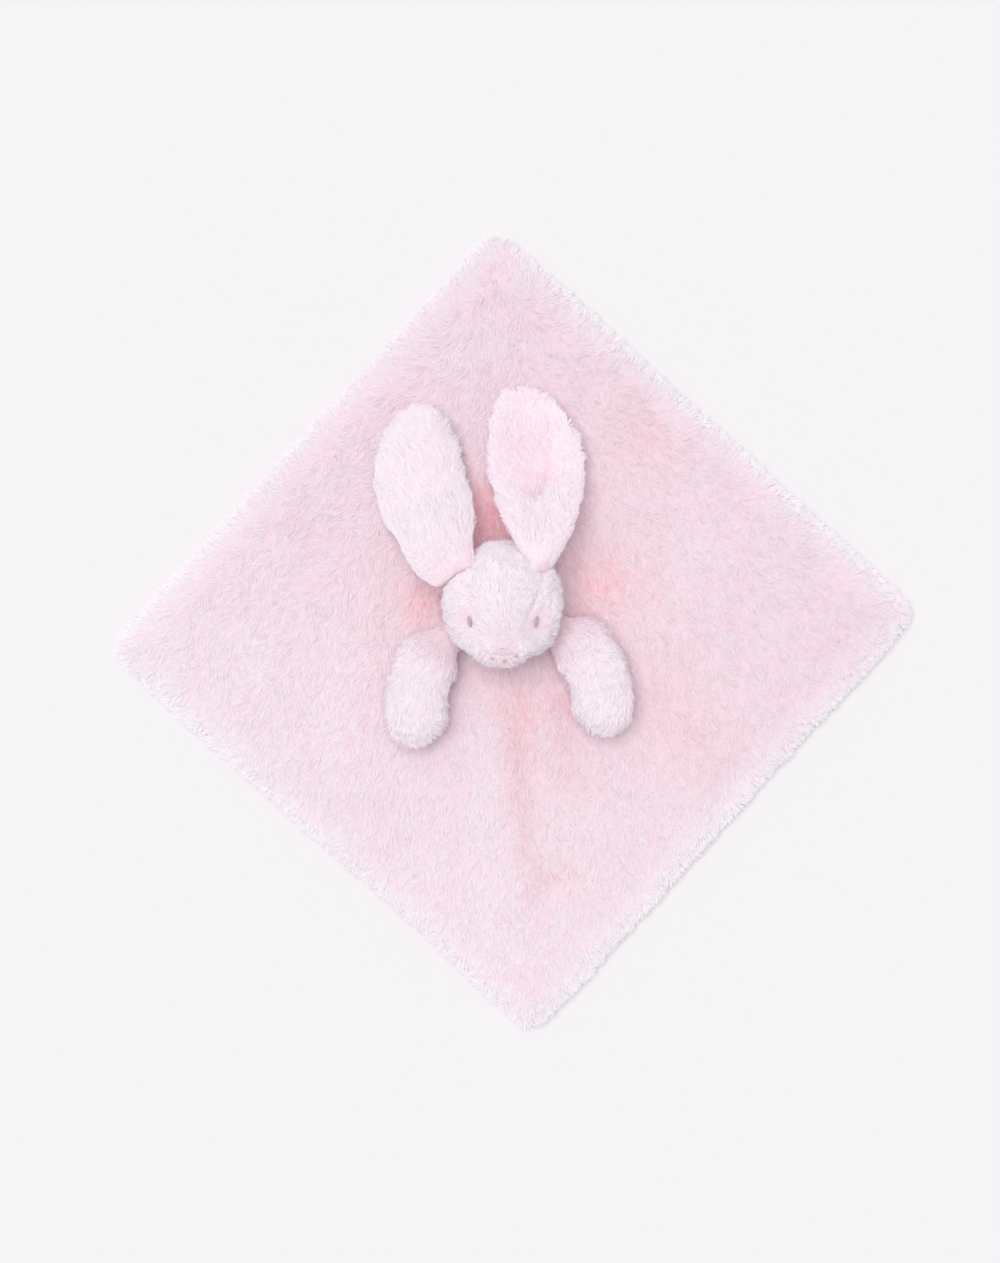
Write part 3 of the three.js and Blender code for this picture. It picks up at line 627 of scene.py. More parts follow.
class Plush:
    """Grows pile on skins."""

    def __init__(self, pile: Pile, seed: int) -> None:
        """Keeps the pile's sizes and starts its random numbers.

        Args:
            pile: the pile's sizes.
            seed: the seed of its random numbers.
        """
        self.pile = pile
        self.rng = np.random.default_rng(seed)
        self.wander = Ripple(pile.clump_size * pile.wander_size, seed + 1)
        self.depth = Ripple(pile.clump_size * pile.depth_size, seed + 2)
        self.swirl = Ripple(pile.swirl_length, seed + 3)

    def spots(self, skin: Skin) -> tuple[Array, Array, Array]:
        """Evenly scattered places on a skin.

        The k-th of n places lies at (k + random) / n of the skin's area, counted face by face, so that each
        face gets its share.

        Args:
            skin: the surface.

        Returns:
            The points, their normals and their places on the map.
        """
        a, b, c = (skin.points[skin.triangles[:, k]] for k in range(3))
        areas = np.linalg.norm(np.cross(b - a, c - a), axis=1) / 2
        total = np.cumsum(areas)
        count = int(total[-1] / self.pile.spacing**2)
        at = (np.arange(count) + self.rng.random(count)) / count * total[-1]
        chosen = np.minimum(np.searchsorted(total, at), len(areas) - 1)
        u, v = self.rng.random((2, count, 1))
        fold = u + v > 1
        u, v = np.where(fold, 1 - u, u), np.where(fold, 1 - v, v)
        corners = skin.triangles[chosen]

        def mix(values: Array) -> Array:
            """The corners' values blended at each place."""
            p, q, r = (values[corners[:, k]] for k in range(3))
            return p + u * (q - p) + v * (r - p)

        return mix(skin.points), unit(mix(skin.normals)), mix(skin.place)

    def locks(self, points: Array) -> Array:
        """The number of the lock that each tuft belongs to: the cell of a warped grid that its root is in.

        Args:
            points: the tufts' roots.

        Returns:
            A number for each tuft, from 0.
        """
        size = self.pile.lock_size
        warp = np.stack([ripple.at(points) for ripple in (self.wander, self.depth, self.swirl)], -1)
        cells = np.floor(points / size + warp).astype(np.int64)
        cells -= cells.min(0)
        spans = cells.max(0) + 1
        codes = (cells[:, 0] * spans[1] + cells[:, 1]) * spans[2] + cells[:, 2]
        return np.unique(codes, return_inverse=True)[1]

    def drawn(self, points: Array, lock: Array, normals: Array, pull: float) -> Array:
        """Points drawn along the cloth towards the middle of their lock.

        Args:
            points: the points, one for each tuft.
            lock: the number of each tuft's lock.
            normals: the cloth's normals.
            pull: the share of the way that they are drawn.

        Returns:
            The points.
        """
        count = np.bincount(lock)
        middle = np.stack([np.bincount(lock, points[:, k]) / count for k in range(3)], -1)[lock]
        step = middle - points
        return points + pull * (step - normals * dot(step, normals))

    def grow(self, roots: Roots) -> Tufts:
        """Tufts from roots.

        A tuft leaves its root at the angle rise, bends at its knee and lies at the angle lie, and strays from
        the flow by a slow noise, shared by a clump, and a random part of its own. Its shoulders are at the
        knee, and both its ends are points. The tips of a lock draw together, and its tufts share a tone and
        a little of their height.

        Args:
            roots: where the tufts grow.

        Returns:
            The tufts.
        """
        pile, rng, count = self.pile, self.rng, len(roots.points)
        normals = roots.normals
        together = self.wander.at(roots.points)
        turn = pile.wander_turn * together + pile.swirl_turn * self.swirl.at(roots.points)
        angle = math.radians(pile.stray) * (turn + pile.unruly * rng.normal(size=count))
        flow = turned(flat_against(roots.flows, normals), normals, angle)
        deep = self.depth.at(roots.points)
        lock = self.locks(roots.points)
        tone, height = rng.normal(size=(2, lock.max() + 1)).clip(-2, 2)[:, lock]
        length = pile.length * roots.length * (1 + pile.vary * rng.normal(size=count).clip(-2, 2))
        length = length * (1 + pile.depth_length * deep)
        length = np.maximum(length, pile.shortest * pile.length * roots.length)
        guard = rng.random(count) < pile.guard_share
        width = pile.width * rng.uniform(*pile.widths, count) * np.where(guard, pile.guard_width, 1)
        lifted = np.where(guard, pile.guard_rise, 0) + pile.lock_rise * height
        rise = pile.rise + pile.rise_vary * rng.normal(size=count) + pile.depth_rise * deep + lifted
        lie = pile.lie + pile.lie_vary * rng.normal(size=count) + pile.depth_lie * deep
        lie = lie + pile.lock_lie * lifted
        curl = rng.normal(0, pile.curl_vary, count) + pile.clump * together
        later = turned(flow, normals, curl)

        def heading(way: Array, degrees: Array) -> Array:
            """Ways tilted up from the cloth."""
            tilt = np.radians(degrees)[:, None]
            return way * np.cos(tilt) + normals * np.sin(tilt)

        root = roots.points - normals * pile.sink
        first = heading(flow, rise)
        knee = root + first * (length * pile.knee)[:, None]
        second = heading(later, lie)
        tip = knee + second * (length * (1 - pile.knee))[:, None]
        tip = self.drawn(tip, lock, normals, pile.lock_pull)
        knee = self.drawn(knee, lock, normals, pile.knee_pull * pile.lock_pull)
        side = unit(np.cross(first + second, normals)) * (width / 2)[:, None]
        points = np.stack([root, knee - side, knee + side, tip], 1)
        tint = 0.5 + pile.tint_vary * rng.normal(size=count) + pile.depth_tint * deep + pile.lock_tone * tone
        blush = np.broadcast_to(roots.blush, (count,)).astype(float)
        return Tufts(points, np.clip(tint, 0, 1), blush, roots.place, normals)


# ---------------------------------------------------------------- finishes


def linear(code: str) -> tuple[float, float, float, float]:
    """A colour code such as #f1dde7 as the linear colour that shaders take."""
    parts = [int(code[k:k + 2], 16) / 255 for k in (1, 3, 5)]
    return (*(c / 12.92 if c <= 0.04045 else ((c + 0.055) / 1.055) ** 2.4 for c in parts), 1.0)


class Nodes:
    """A small helper that adds and links the nodes of one tree."""

    def __init__(self, tree: bpy.types.NodeTree) -> None:
        """Keeps the tree."""
        self.tree = tree
        self.shift = 0

    def add(self, kind: str, values: dict | None = None, **settings: object) -> bpy.types.Node:
        """Adds a node.

        Args:
            kind: the node's type, without the words ShaderNode.
            values: sockets by name or number, each given a value or the socket that feeds it.
            **settings: the node's own settings.

        Returns:
            The node.
        """
        node = self.tree.nodes.new(kind if kind.startswith("NodeGroup") else f"ShaderNode{kind}")
        node.location = (self.shift, 0)
        self.shift += 180
        for key, value in settings.items():
            setattr(node, key, value)
        for key, value in (values or {}).items():
            if isinstance(value, bpy.types.NodeSocket):
                self.tree.links.new(value, node.inputs[key])
            else:
                node.inputs[key].default_value = value
        return node

    def math(self, operation: str, *terms: object) -> bpy.types.NodeSocket:
        """A Math node's result."""
        return self.add("Math", dict(enumerate(terms)), operation=operation).outputs[0]

    def mix(self, share: object, first: object, second: object, blend: str = "MIX") -> bpy.types.NodeSocket:
        """A colour mix's result."""
        node = self.add("Mix", {0: share, 6: first, 7: second}, data_type="RGBA", blend_type=blend)
        return node.outputs[2]

    def noise(self, place: object, scale: float, detail: float = 2.0) -> bpy.types.NodeSocket:
        """A noise texture's value at a place."""
        return self.add("TexNoise", {"Vector": place, "Scale": scale, "Detail": detail}).outputs[0]


class Groups:
    """The shader node groups that several finishes share, each built once.

    Each pair of numbers below is a scale and an offset: value * scale + offset. SLOPE has one scale for each
    axis. The noises' scales are in waves a metre.
    """

    built: dict[str, bpy.types.NodeTree] = {}
    SLOW, PATCHES, GRAIN = 7.0, 55.0, 2600.0
    SLOPE = (1.1, 1.2)
    WARMTH = (0.9, 0.1)
    TINT = 0.4
    PATCHY = (0.25, -0.255)
    LENGTHWISE = 0.85
    # UNDER and FLECKS shape the painted shade: stronger at the root than at the tip, and broken up by each
    # tuft's tint.
    UNDER = (-0.35, 1.0)
    FLECKS = (-1.6, 1.8)
    ROUGH = (0.25, 0.5)
    COARSE = 0.12
    COARSE_MASK = 0.5
    STRAND_MASK = (1.2, -0.35)

    @classmethod
    def start(cls, name: str, inputs: dict[str, str],
              outputs: dict[str, str]) -> tuple[Nodes, bpy.types.Node, bpy.types.Node]:
        """An empty group with named sockets.

        Args:
            name: the group's name.
            inputs: the kinds of its inputs by name.
            outputs: the kinds of its outputs by name.

        Returns:
            A helper for its tree, its input node and its output node.
        """
        tree = bpy.data.node_groups.new(name, "ShaderNodeTree")
        for sockets, way in ((inputs, "INPUT"), (outputs, "OUTPUT")):
            for title, kind in sockets.items():
                tree.interface.new_socket(title, in_out=way, socket_type=f"NodeSocket{kind}")
        nodes = Nodes(tree)
        cls.built[name] = tree
        return nodes, nodes.add("NodeGroupInput"), nodes.add("NodeGroupOutput")

    @classmethod
    def plush(cls) -> bpy.types.NodeTree:
        """Pile colour and roughness: deep at the root as painted shade, pale at the tip, cooler to one side,
        painted shade and light.
        """
        if "plush_tone" in cls.built:
            return cls.built["plush_tone"]
        n, given, out = cls.start(
            "plush_tone",
            {"Place": "Vector", "Along": "Float", "Tint": "Float", "Blush": "Float", "Deep": "Color",
             "Pale": "Color", "Cool": "Color", "Warm": "Color", "Painted_shade_pink": "Color"},
            {"Colour": "Color", "Roughness": "Float", "Height": "Float"},
        )
        get = given.outputs
        slow, patchy = n.noise(get["Place"], cls.SLOW), n.noise(get["Place"], cls.PATCHES, 3.0)
        parts = n.add("SeparateXYZ", {0: get["Place"]}).outputs
        # Darker and warmer towards +X and +Y, paler and cooler towards -X and -Y.
        slope = n.math("MULTIPLY_ADD", parts[1], cls.SLOPE[1], n.math("MULTIPLY", parts[0], cls.SLOPE[0]))
        warm = n.math("ADD", slope, n.math("MULTIPLY_ADD", slow, *cls.WARMTH))
        region = n.mix(n.add("Clamp", {0: warm}).outputs[0], get["Cool"], get["Warm"])
        pale = n.mix(1.0, get["Pale"], region, "MULTIPLY")
        lift = n.math("MULTIPLY_ADD", get["Tint"], cls.TINT, n.math("MULTIPLY_ADD", patchy, *cls.PATCHY))
        along = n.add("Clamp", {0: n.math("MULTIPLY_ADD", get["Along"], cls.LENGTHWISE, lift)}).outputs[0]
        # The root's deeper colour is painted shade deep in the pile, between the tufts.
        colour = n.mix(along, n.mix(0.5, get["Deep"], region, "MULTIPLY"), pale)
        # Painted shade: where the attribute is above 0 the pile is mixed towards the shade's pink.
        under = n.math("MULTIPLY_ADD", get["Along"], *cls.UNDER)
        flecked = n.math("MULTIPLY", get["Blush"], n.math("MULTIPLY_ADD", get["Tint"], *cls.FLECKS))
        blush = n.math("MULTIPLY", flecked, under)
        colour = n.mix(n.add("Clamp", {0: blush}).outputs[0], colour, get["Painted_shade_pink"])
        # Painted light: where the attribute is below 0 the pile is mixed towards the pale colour.
        painted_light = n.add("Clamp", {0: n.math("MULTIPLY", get["Blush"], -1.0)}).outputs[0]
        colour = n.mix(painted_light, colour, get["Pale"])
        rough = n.math("MULTIPLY_ADD", patchy, *cls.ROUGH)
        fine = n.noise(get["Place"], cls.GRAIN, 1.0)
        for title, value in (("Colour", colour), ("Roughness", rough), ("Height", fine)):
            n.tree.links.new(value, out.inputs[title])
        return n.tree

    @classmethod
    def strands(cls) -> bpy.types.NodeTree:
        """A pattern of fine strands: noise that is stretched along one way, as a mask and a height."""
        if "fine_strands" in cls.built:
            return cls.built["fine_strands"]
        n, given, out = cls.start(
            "fine_strands", {"Place": "Vector", "Stretch": "Vector", "Scale": "Float"},
            {"Mask": "Float", "Height": "Float"},
        )
        get = given.outputs
        place = n.add("VectorMath", {0: get["Place"], 1: get["Stretch"]}, operation="MULTIPLY").outputs[0]
        grain = n.add("TexNoise", {"Vector": place, "Scale": get["Scale"], "Detail": 3.0}).outputs[0]
        coarse_scale = n.math("MULTIPLY", get["Scale"], cls.COARSE)
        coarse = n.add("TexNoise", {"Vector": get["Place"], "Scale": coarse_scale}).outputs[0]
        strands = n.math("MULTIPLY_ADD", grain, *cls.STRAND_MASK)
        mask = n.math("MULTIPLY_ADD", coarse, cls.COARSE_MASK, strands)
        n.tree.links.new(n.add("Clamp", {0: mask}).outputs[0], out.inputs["Mask"])
        n.tree.links.new(grain, out.inputs["Height"])
        return n.tree


def start_material(name: str) -> tuple[bpy.types.Material, Nodes, bpy.types.Node]:
    """A material with only a Principled BSDF and its output.

    Args:
        name: its name.

    Returns:
        The material, a helper for its tree and the shader.
    """
    material = bpy.data.materials.new(name)
    material.use_nodes = True
    material.node_tree.nodes.clear()
    nodes = Nodes(material.node_tree)
    shader = nodes.add("BsdfPrincipled")
    nodes.tree.links.new(shader.outputs[0], nodes.add("OutputMaterial").inputs["Surface"])
    return material, nodes, shader


def set_sockets(shader: bpy.types.Node, values: dict[str, object]) -> None:
    """Sets a shader's own sockets by name."""
    for key, value in values.items():
        shader.inputs[key].default_value = value


def set_soft(n: Nodes, shader: bpy.types.Node, height: bpy.types.NodeSocket, bump: Pair,
             sockets: dict[str, object]) -> None:
    """Gives a shader its bump and its own sockets.

    Args:
        n: the helper of its tree.
        shader: the shader.
        height: what the bump follows.
        bump: the bump's strength, and its distance in metres.
        sockets: the shader's sockets by name.
    """
    node = n.add("Bump", {"Strength": bump[0], "Distance": bump[1], "Height": height})
    n.tree.links.new(node.outputs[0], shader.inputs["Normal"])
    set_sockets(shader, sockets)


@dataclass(frozen=True)
class PileFinish:
    """The finish of a plush's pile, as colour codes."""

    name: str
    # The root's colour is painted shade deep in the pile; the last colour is the pink that painted shade mixes
    # towards.
    deep: str
    pale: str
    cool: str
    warm: str
    painted_shade_pink: str
    sheen: float = 0.6
    bump: Pair = (0.15, 0.0002)

    def make(self) -> bpy.types.Material:
        """The material, which reads the tufts' own attributes along and tint and that of painted shade and
        light.
        """
        material, n, shader = start_material(self.name)
        values = {
            title.capitalize(): n.add("Attribute", attribute_name=title).outputs["Fac"]
            for title in ("along", "tint", "blush")
        }
        values["Place"] = n.add("TexCoord").outputs["Object"]
        for title in ("deep", "pale", "cool", "warm", "painted_shade_pink"):
            values[title.capitalize()] = linear(getattr(self, title))
        tone = n.add("Group", node_tree=Groups.plush())
        for title, value in values.items():
            if isinstance(value, tuple):
                tone.inputs[title].default_value = value
            else:
                n.tree.links.new(value, tone.inputs[title])
        n.tree.links.new(tone.outputs["Colour"], shader.inputs["Base Color"])
        n.tree.links.new(tone.outputs["Roughness"], shader.inputs["Roughness"])
        set_soft(n, shader, tone.outputs["Height"], self.bump, {
            "Sheen Weight": self.sheen, "Sheen Roughness": 0.45, "Sheen Tint": (1.0, 0.93, 0.96, 1.0),
            "Specular IOR Level": 0.2,
        })
        return material


@dataclass(frozen=True)
class ClothFinish:
    """The finish of the knitted ground that the pile stands in, or of a filling or a thread."""

    name: str
    dark: str
    light: str
    scale: float
    stretch: Triple
    bump: float
    roughness: float
    sheen: float = 0.3
    roughness_spread: float = 0.18
    bump_distance: float = 0.0006

    def make(self) -> bpy.types.Material:
        """The material, whose fine strands run square to the stretch."""
        material, n, shader = start_material(self.name)
        place = n.add("TexCoord").outputs["Object"]
        grain = n.add("Group", {"Place": place, "Stretch": self.stretch, "Scale": self.scale},
                      node_tree=Groups.strands())
        colour = n.mix(grain.outputs["Mask"], linear(self.dark), linear(self.light))
        n.tree.links.new(colour, shader.inputs["Base Color"])
        smoothest = self.roughness - self.roughness_spread / 2
        rough = n.math("MULTIPLY_ADD", grain.outputs["Mask"], self.roughness_spread, smoothest)
        n.tree.links.new(rough, shader.inputs["Roughness"])
        set_soft(n, shader, grain.outputs["Height"], (self.bump, self.bump_distance), {
            "Sheen Weight": self.sheen, "Sheen Roughness": 0.5, "Sheen Tint": (1.0, 0.94, 0.97, 1.0),
            "Specular IOR Level": 0.25,
        })
        return material


class Finishes:
    """All the object's finishes, made once."""

    def __init__(self) -> None:
        """Makes the materials."""
        # Each pile's last colour is the pink that its painted shade mixes towards.
        self.blanket_pile = PileFinish(
            "blanket_pile", deep="#f3dae6", pale="#fdfbfe", cool="#fefefe", warm="#f6ecef",
            painted_shade_pink="#ffb9bf",
        ).make()
        self.bunny_pile = PileFinish(
            "bunny_pile", deep="#f7e4ed", pale="#fefcff", cool="#fefdff", warm="#fffdfe", painted_shade_pink="#ffccd4",
        ).make()
        self.hollow_pile = PileFinish(
            "ear_hollow_pile", deep="#fbe7f0", pale="#fffcff", cool="#fefdff", warm="#fefcff",
            painted_shade_pink="#f7cfe0",
        ).make()
        knit = {"scale": 900.0, "stretch": (1.0, 0.3, 1.0), "bump": 0.6, "roughness": 0.85}
        satin = {"scale": 1800.0, "bump": 0.5}
        # The grounds are deeper pink than the pile: the knit's own colour, deepened as painted shade for the
        # gaps between tufts.
        self.blanket_ground = ClothFinish("blanket_ground", "#f7d6e4", "#fae4ee", **knit).make()
        self.bunny_ground = ClothFinish("bunny_ground", "#f9dde6", "#fdecf2", **knit).make()
        self.filling = ClothFinish(
            "fibre_filling", "#e9e7e8", "#fbfafa", scale=420.0, stretch=(1.0, 0.25, 0.6), bump=0.9,
            roughness=0.9, sheen=0.5,
        ).make()
        self.pink_thread = ClothFinish(
            "pink_thread", "#e2b3c6", "#f4d3e0", scale=1600.0, stretch=(1.0, 1.0, 0.4), bump=0.4,
            roughness=0.55, sheen=0.2,
        ).make()
        self.eye_thread = ClothFinish(
            "eye_thread", "#b4acb8", "#dcd6e0", stretch=(0.3, 1.0, 1.0), roughness=0.42, sheen=0.1, **satin,
        ).make()
        self.mouth_thread = ClothFinish(
            "mouth_thread", "#cdbfc8", "#e6dbe2", stretch=(1.0, 0.5, 1.0), roughness=0.5, sheen=0.1, **satin,
        ).make()
        self.nose_thread = ClothFinish(
            "nose_thread", "#fae4f1", "#fff6fc", stretch=(1.0, 0.35, 1.0), roughness=0.45, sheen=0.15,
            **satin,
        ).make()


def dress(obj: bpy.types.Object, material: bpy.types.Material, body: str) -> bpy.types.Object:
    """Gives a piece its material and the body it rides on.

    Args:
        obj: the piece.
        material: its material.
        body: the body that it rides on.

    Returns:
        The same piece.
    """
    obj.data.materials.clear()
    obj.data.materials.append(material)
    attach(obj, body)
    log.info("%s: %d points on %s", obj.name, len(obj.data.vertices), body)
    return obj


def dress_pile(tufts: Tufts, name: str, by: Array, material: bpy.types.Material, body: str,
               map_size: int = 256) -> list[bpy.types.Object]:
    """Writes tufts as pieces and dresses them.

    Args:
        tufts: the tufts.
        name: the pieces' common name.
        by: the values that they are parted along.
        material: their material.
        body: the body that they ride on.
        map_size: about how many pixels a side a picture of their map is taken to have.

    Returns:
        The pieces.
    """
    return [dress(piece, material, body) for piece in tufts.pieces(name, map_size, by)]


# ---------------------------------------------------------------- blanket


@dataclass(frozen=True)
class Fold:
    """A ridge (or, with a height below 0, a dent) between two places on the blanket.

    Seen from its start, the pile beside it is painted pinker on its left, as painted shade, and paler on its
    right, as painted light, by the last number.
    """

    start: Pair
    end: Pair
    height: float
    half_width: float
    flush: float = 0.0

    def along_and_away(self, xy: Array) -> tuple[Array, Array]:
        """For places, the share of the fold's length beside them, and how far they are to its left.

        Args:
            xy: the places, in the part's frame.

        Returns:
            The shares, from 0 to 1, and the distances, below 0 to its right.
        """
        start, run = np.array(self.start), np.array(self.end) - np.array(self.start)
        along = np.clip((xy - start) @ run / (run @ run), 0, 1)
        off = xy - start - along[..., None] * run
        left = np.sign(run[0] * off[..., 1] - run[1] * off[..., 0])
        return along, left * np.linalg.norm(off, axis=-1)


@dataclass
class Blanket:
    """The blanket: two plush panels sewn round their edge and turned, so that the pile rolls over the rim."""

    side: float = 350.0
    turn_deg: float = 47.6
    corner_radius: float = 11.0
    middle: float = 5.5
    half_gap: float = 0.15
    edge_round: float = 9.0
    pile_room: float = 1.7
    rim_room: float = 2.8
    under_room: float = 1.9
    steps: int = 84
    seam_inset: float = 5.0
    thread_radius: float = 0.6
    closing_length: float = 64.0
    wave_height: float = 0.75
    fold_fade: float = 0.85
    # How far along a fold its painted light and shade take to come in.
    flush_start: float = 0.2
    rim_lift: float = 3.0
    # Painted light: the pile is paler over a band inside the outline, and palest at the very rim.
    painted_rim_light: float = 0.55
    painted_edge_light: float = 0.45
    painted_rim_light_inset: Pair = (1, 26)
    painted_edge_light_inset: Pair = (0, 10)
    rim_inset: Pair = (5, 26)
    edge_wave: float = 1.1
    edge_wave_from: float = 0.7
    roll_steps: tuple[float, ...] = (0, 0.02, 0.09, 0.2, 0.36, 0.56, 0.78, 1.0)
    least_round: float = 0.05
    corner_power: float = 14
    strongest_share: float = 0.7
    parting: Triple = (-6.0, 19.0, 0)
    parting_reach: Pair = (20, 170)
    parting_flow: Pair = (0.25, 0.55)
    down_loss: float = 0.7
    rim_flow: float = 1.5
    rim_shortening: Pair = (0.1, 0.5)
    thread_pitch: float = 3.2
    seam_points: int = 1200
    closing_points: int = 220
    closing_swing: float = 1.1
    closing_waves: float = 4.5
    closing_ends: float = 1.5
    lowest: float = 0.12
    rim_gap: float = 0.03
    front_pile: Pile = Pile(
        spacing=0.7, length=5.6, width=0.7, rise=11, lie=1.5, stray=12, clump=0.25, vary=0.2)
    back_pile: Pile = Pile(spacing=1.9, length=7.0, width=1.7, rise=10, lie=1)
    folds: tuple[Fold, ...] = (
        Fold((-13, -26), (4, -190), 6.4, 13, 0.36),
        Fold((20, -46), (32, -100), 4.2, 9, 0.15),
        Fold((8, -52), (16, -140), -1.6, 7),
        Fold((38, 164), (28, 140), 1.3, 14),
        Fold((78, 123), (91, 105), -2.0, 13),
        Fold((28, -152), (34, -138), -2.4, 12),
        Fold((-87, -35), (-115, -7), -1.4, 15),
    )
    # Pink spots of painted shade, as x, y, radius and strength, mostly beside the head, ears and arms and in
    # dents.
    blush_spots: tuple[tuple[float, float, float, float], ...] = (
        (-13, 70, 22, 0.8), (53, 30, 24, 0.45), (-52, 20, 15, 0.5), (5, -42, 20, 0.25),
        (31, -42, 15, 0.32), (78, 121, 24, 0.22), (86, -40, 32, 0.18), (14, -70, 18, 0.16),
        (36, -90, 15, 0.14), (31, -145, 13, 0.15), (-56, -172, 14, 0.15), (-6, -212, 14, 0.15),
        (112, -66, 26, 0.15), (0, 10, 100, 0.12),
    )
    slow: Ripple = field(default_factory=lambda: Ripple(wavelength=58.0, seed=11))
    edge: Ripple = field(default_factory=lambda: Ripple(wavelength=85.0, seed=12))

    def spun(self, points: Array, back: bool = False) -> Array:
        """Points turned from the blanket's own square frame to the part's, or back."""
        x, y, *rest = np.moveaxis(points, -1, 0)
        turn = math.radians(-self.turn_deg if back else self.turn_deg)
        return np.stack([*turned_flat(x, y, turn), *rest], -1)

    def lift(self, xy: Array) -> Array:
        """How much folds and slow waves raise the top at places in the part's frame.

        Each fold adds its height times a bell of the distance from its line, and fades towards its end.

        Args:
            xy: the places, in the part's frame.

        Returns:
            The heights in millimetres.
        """
        lift = self.wave_height * self.slow.at(np.concatenate([xy, np.zeros_like(xy[..., :1])], -1))
        for fold in self.folds:
            along, away = fold.along_and_away(xy)
            lift = lift + fold.height * (1 - self.fold_fade * along**2) * bell(away, fold.half_width)
        return lift

    def sheet(self, coordinates: Array, half: float, height: float, folded: bool) -> Array:
        """The face of one panel.

        The square's grid keeps its distance from the outline: a place inset by d lies on the outline of a
        square with rounded corners that is d smaller. The edge rolls down as a quarter ellipse.

        Args:
            coordinates: the grid's steps from -1 to 1.
            half: half the cloth's side.
            height: how far the face lies from the blanket's middle plane, below 0 for the back.
            folded: whether the face has the folds.

        Returns:
            A grid of points in the part's frame.
        """
        a, b = np.meshgrid(coordinates, coordinates, indexing="xy")
        square = np.stack([a, b], -1) * half
        reach = np.abs(square).max(-1)
        inset = half - reach
        round_off = np.maximum(self.corner_radius - inset, self.least_round * self.corner_radius)
        inner_reach = np.maximum(reach - round_off, 0)[..., None]
        inner = np.clip(square, -inner_reach, inner_reach)
        away = square - inner
        flat = inner + unit(away) * np.minimum(round_off, reach)[..., None]
        flat[reach < 1e-6] = 0
        xy = self.spun(flat)
        edge_share = 1 - np.minimum(inset / self.edge_round, 1)
        wave = self.edge.at(np.concatenate([xy, np.zeros_like(xy[..., :1])], -1)) * self.edge_wave
        xy = xy * (1 + (wave * ramp(reach / half, self.edge_wave_from, 1.0) / half)[..., None])
        roll = np.sqrt(np.maximum(0, 1 - edge_share**2))
        raised = self.lift(xy) * (1 - edge_share) if folded else 0
        z = self.middle + math.copysign(self.half_gap, height) + roll * (height + raised)
        return np.concatenate([xy, z[..., None]], -1)

    def coordinates(self, half: float) -> Array:
        """The grid's steps: fine where the edge rolls, even elsewhere."""
        roll = np.array(self.roll_steps) * self.edge_round / half
        inner = np.linspace(-1 + roll[-1], 1 - roll[-1], self.steps)
        return np.concatenate([-1 + roll, inner[1:-1], (1 - roll)[::-1]])

    def outwards(self, points: Array) -> tuple[Array, Array]:
        """For places in the part's frame, the way out over the nearest edges, and how far in they are.

        Args:
            points: (n, 3), in the part's frame.

        Returns:
            (n, 3) unit vectors, and n distances in millimetres.
        """
        own = self.spun(points[:, :2], back=True)
        half = self.side / 2
        weight = np.sign(own) * np.maximum(np.abs(own) / half, 1e-6) ** self.corner_power
        way = self.spun(unit(weight))
        return np.concatenate([way, np.zeros((len(way), 1))], -1), half - np.abs(own).max(-1)

    def blush(self, xy: Array) -> Array:
        """How much painted shade, as pink, the top gets at places, below 0 where it gets painted light, paler.

        It is the strongest of several bells plus a little of the rest, and along a fold it rises on the left
        and falls on the right as x * e^(-x^2) of the distance in half widths.

        Args:
            xy: the places, in the part's frame.

        Returns:
            A number from -1 to 1 for each place.
        """
        spots = np.array([
            strength * bell(np.hypot(xy[:, 0] - x, xy[:, 1] - y), radius)
            for x, y, radius, strength in self.blush_spots
        ])
        blush = self.strongest_share * spots.max(0) + (1 - self.strongest_share) * spots.sum(0)
        for fold in self.folds:
            along, away = fold.along_and_away(xy)
            share = away / fold.half_width
            # Painted light and shade beside the fold: pinker on its left, paler on its right.
            flush = fold.flush * ramp(along, 0, self.flush_start) * (1 - self.fold_fade * along**2)
            blush = blush + flush * share * np.exp(-(share**2))
        return np.clip(blush, -1, 1)

    def roots(self, plush: Plush, skin: Skin, front: bool) -> Roots:
        """Where one panel's tufts grow and how they lie.

        They lie down the picture, a little away from the head and more so further out, and out over the rim,
        where they are shorter.

        Args:
            plush: what scatters and grows them.
            skin: the panel's face.
            front: whether it is the front panel, the only one with painted shade.

        Returns:
            The roots.
        """
        points, normals, _ = plush.spots(skin)
        out, inset = self.outwards(points)
        rim = 1 - ramp(inset, *self.rim_inset)
        middle = unit(points * np.array([1, 1, 0]) - np.array(self.parting))
        far = ramp(np.linalg.norm(points[:, :2], axis=1), *self.parting_reach)[:, None]
        down = np.array([0.0, -1.0, 0.0])
        near_share, far_share = self.parting_flow
        flows = down * (1 - self.down_loss * rim[:, None]) + middle * (near_share + far_share * far)
        flows = flows + out * (self.rim_flow * rim)[:, None]
        normals = unit(normals + (1 if front else -1) * self.rim_lift * rim[:, None] * UP)
        length = 1 - self.rim_shortening[0 if front else 1] * rim
        # Painted shade, as pink, on the front panel's top.
        blush = self.blush(points[:, :2]) * (1 - rim) if front else 0.0
        # Painted light on both panels: paler inside the outline, palest at the rim.
        blush = blush - self.painted_rim_light * (1 - ramp(inset, *self.painted_rim_light_inset))
        blush = blush - self.painted_edge_light * (1 - ramp(inset, *self.painted_edge_light_inset))
        return Roots(points, normals, flows, points[:, :2] / self.side, length, blush)

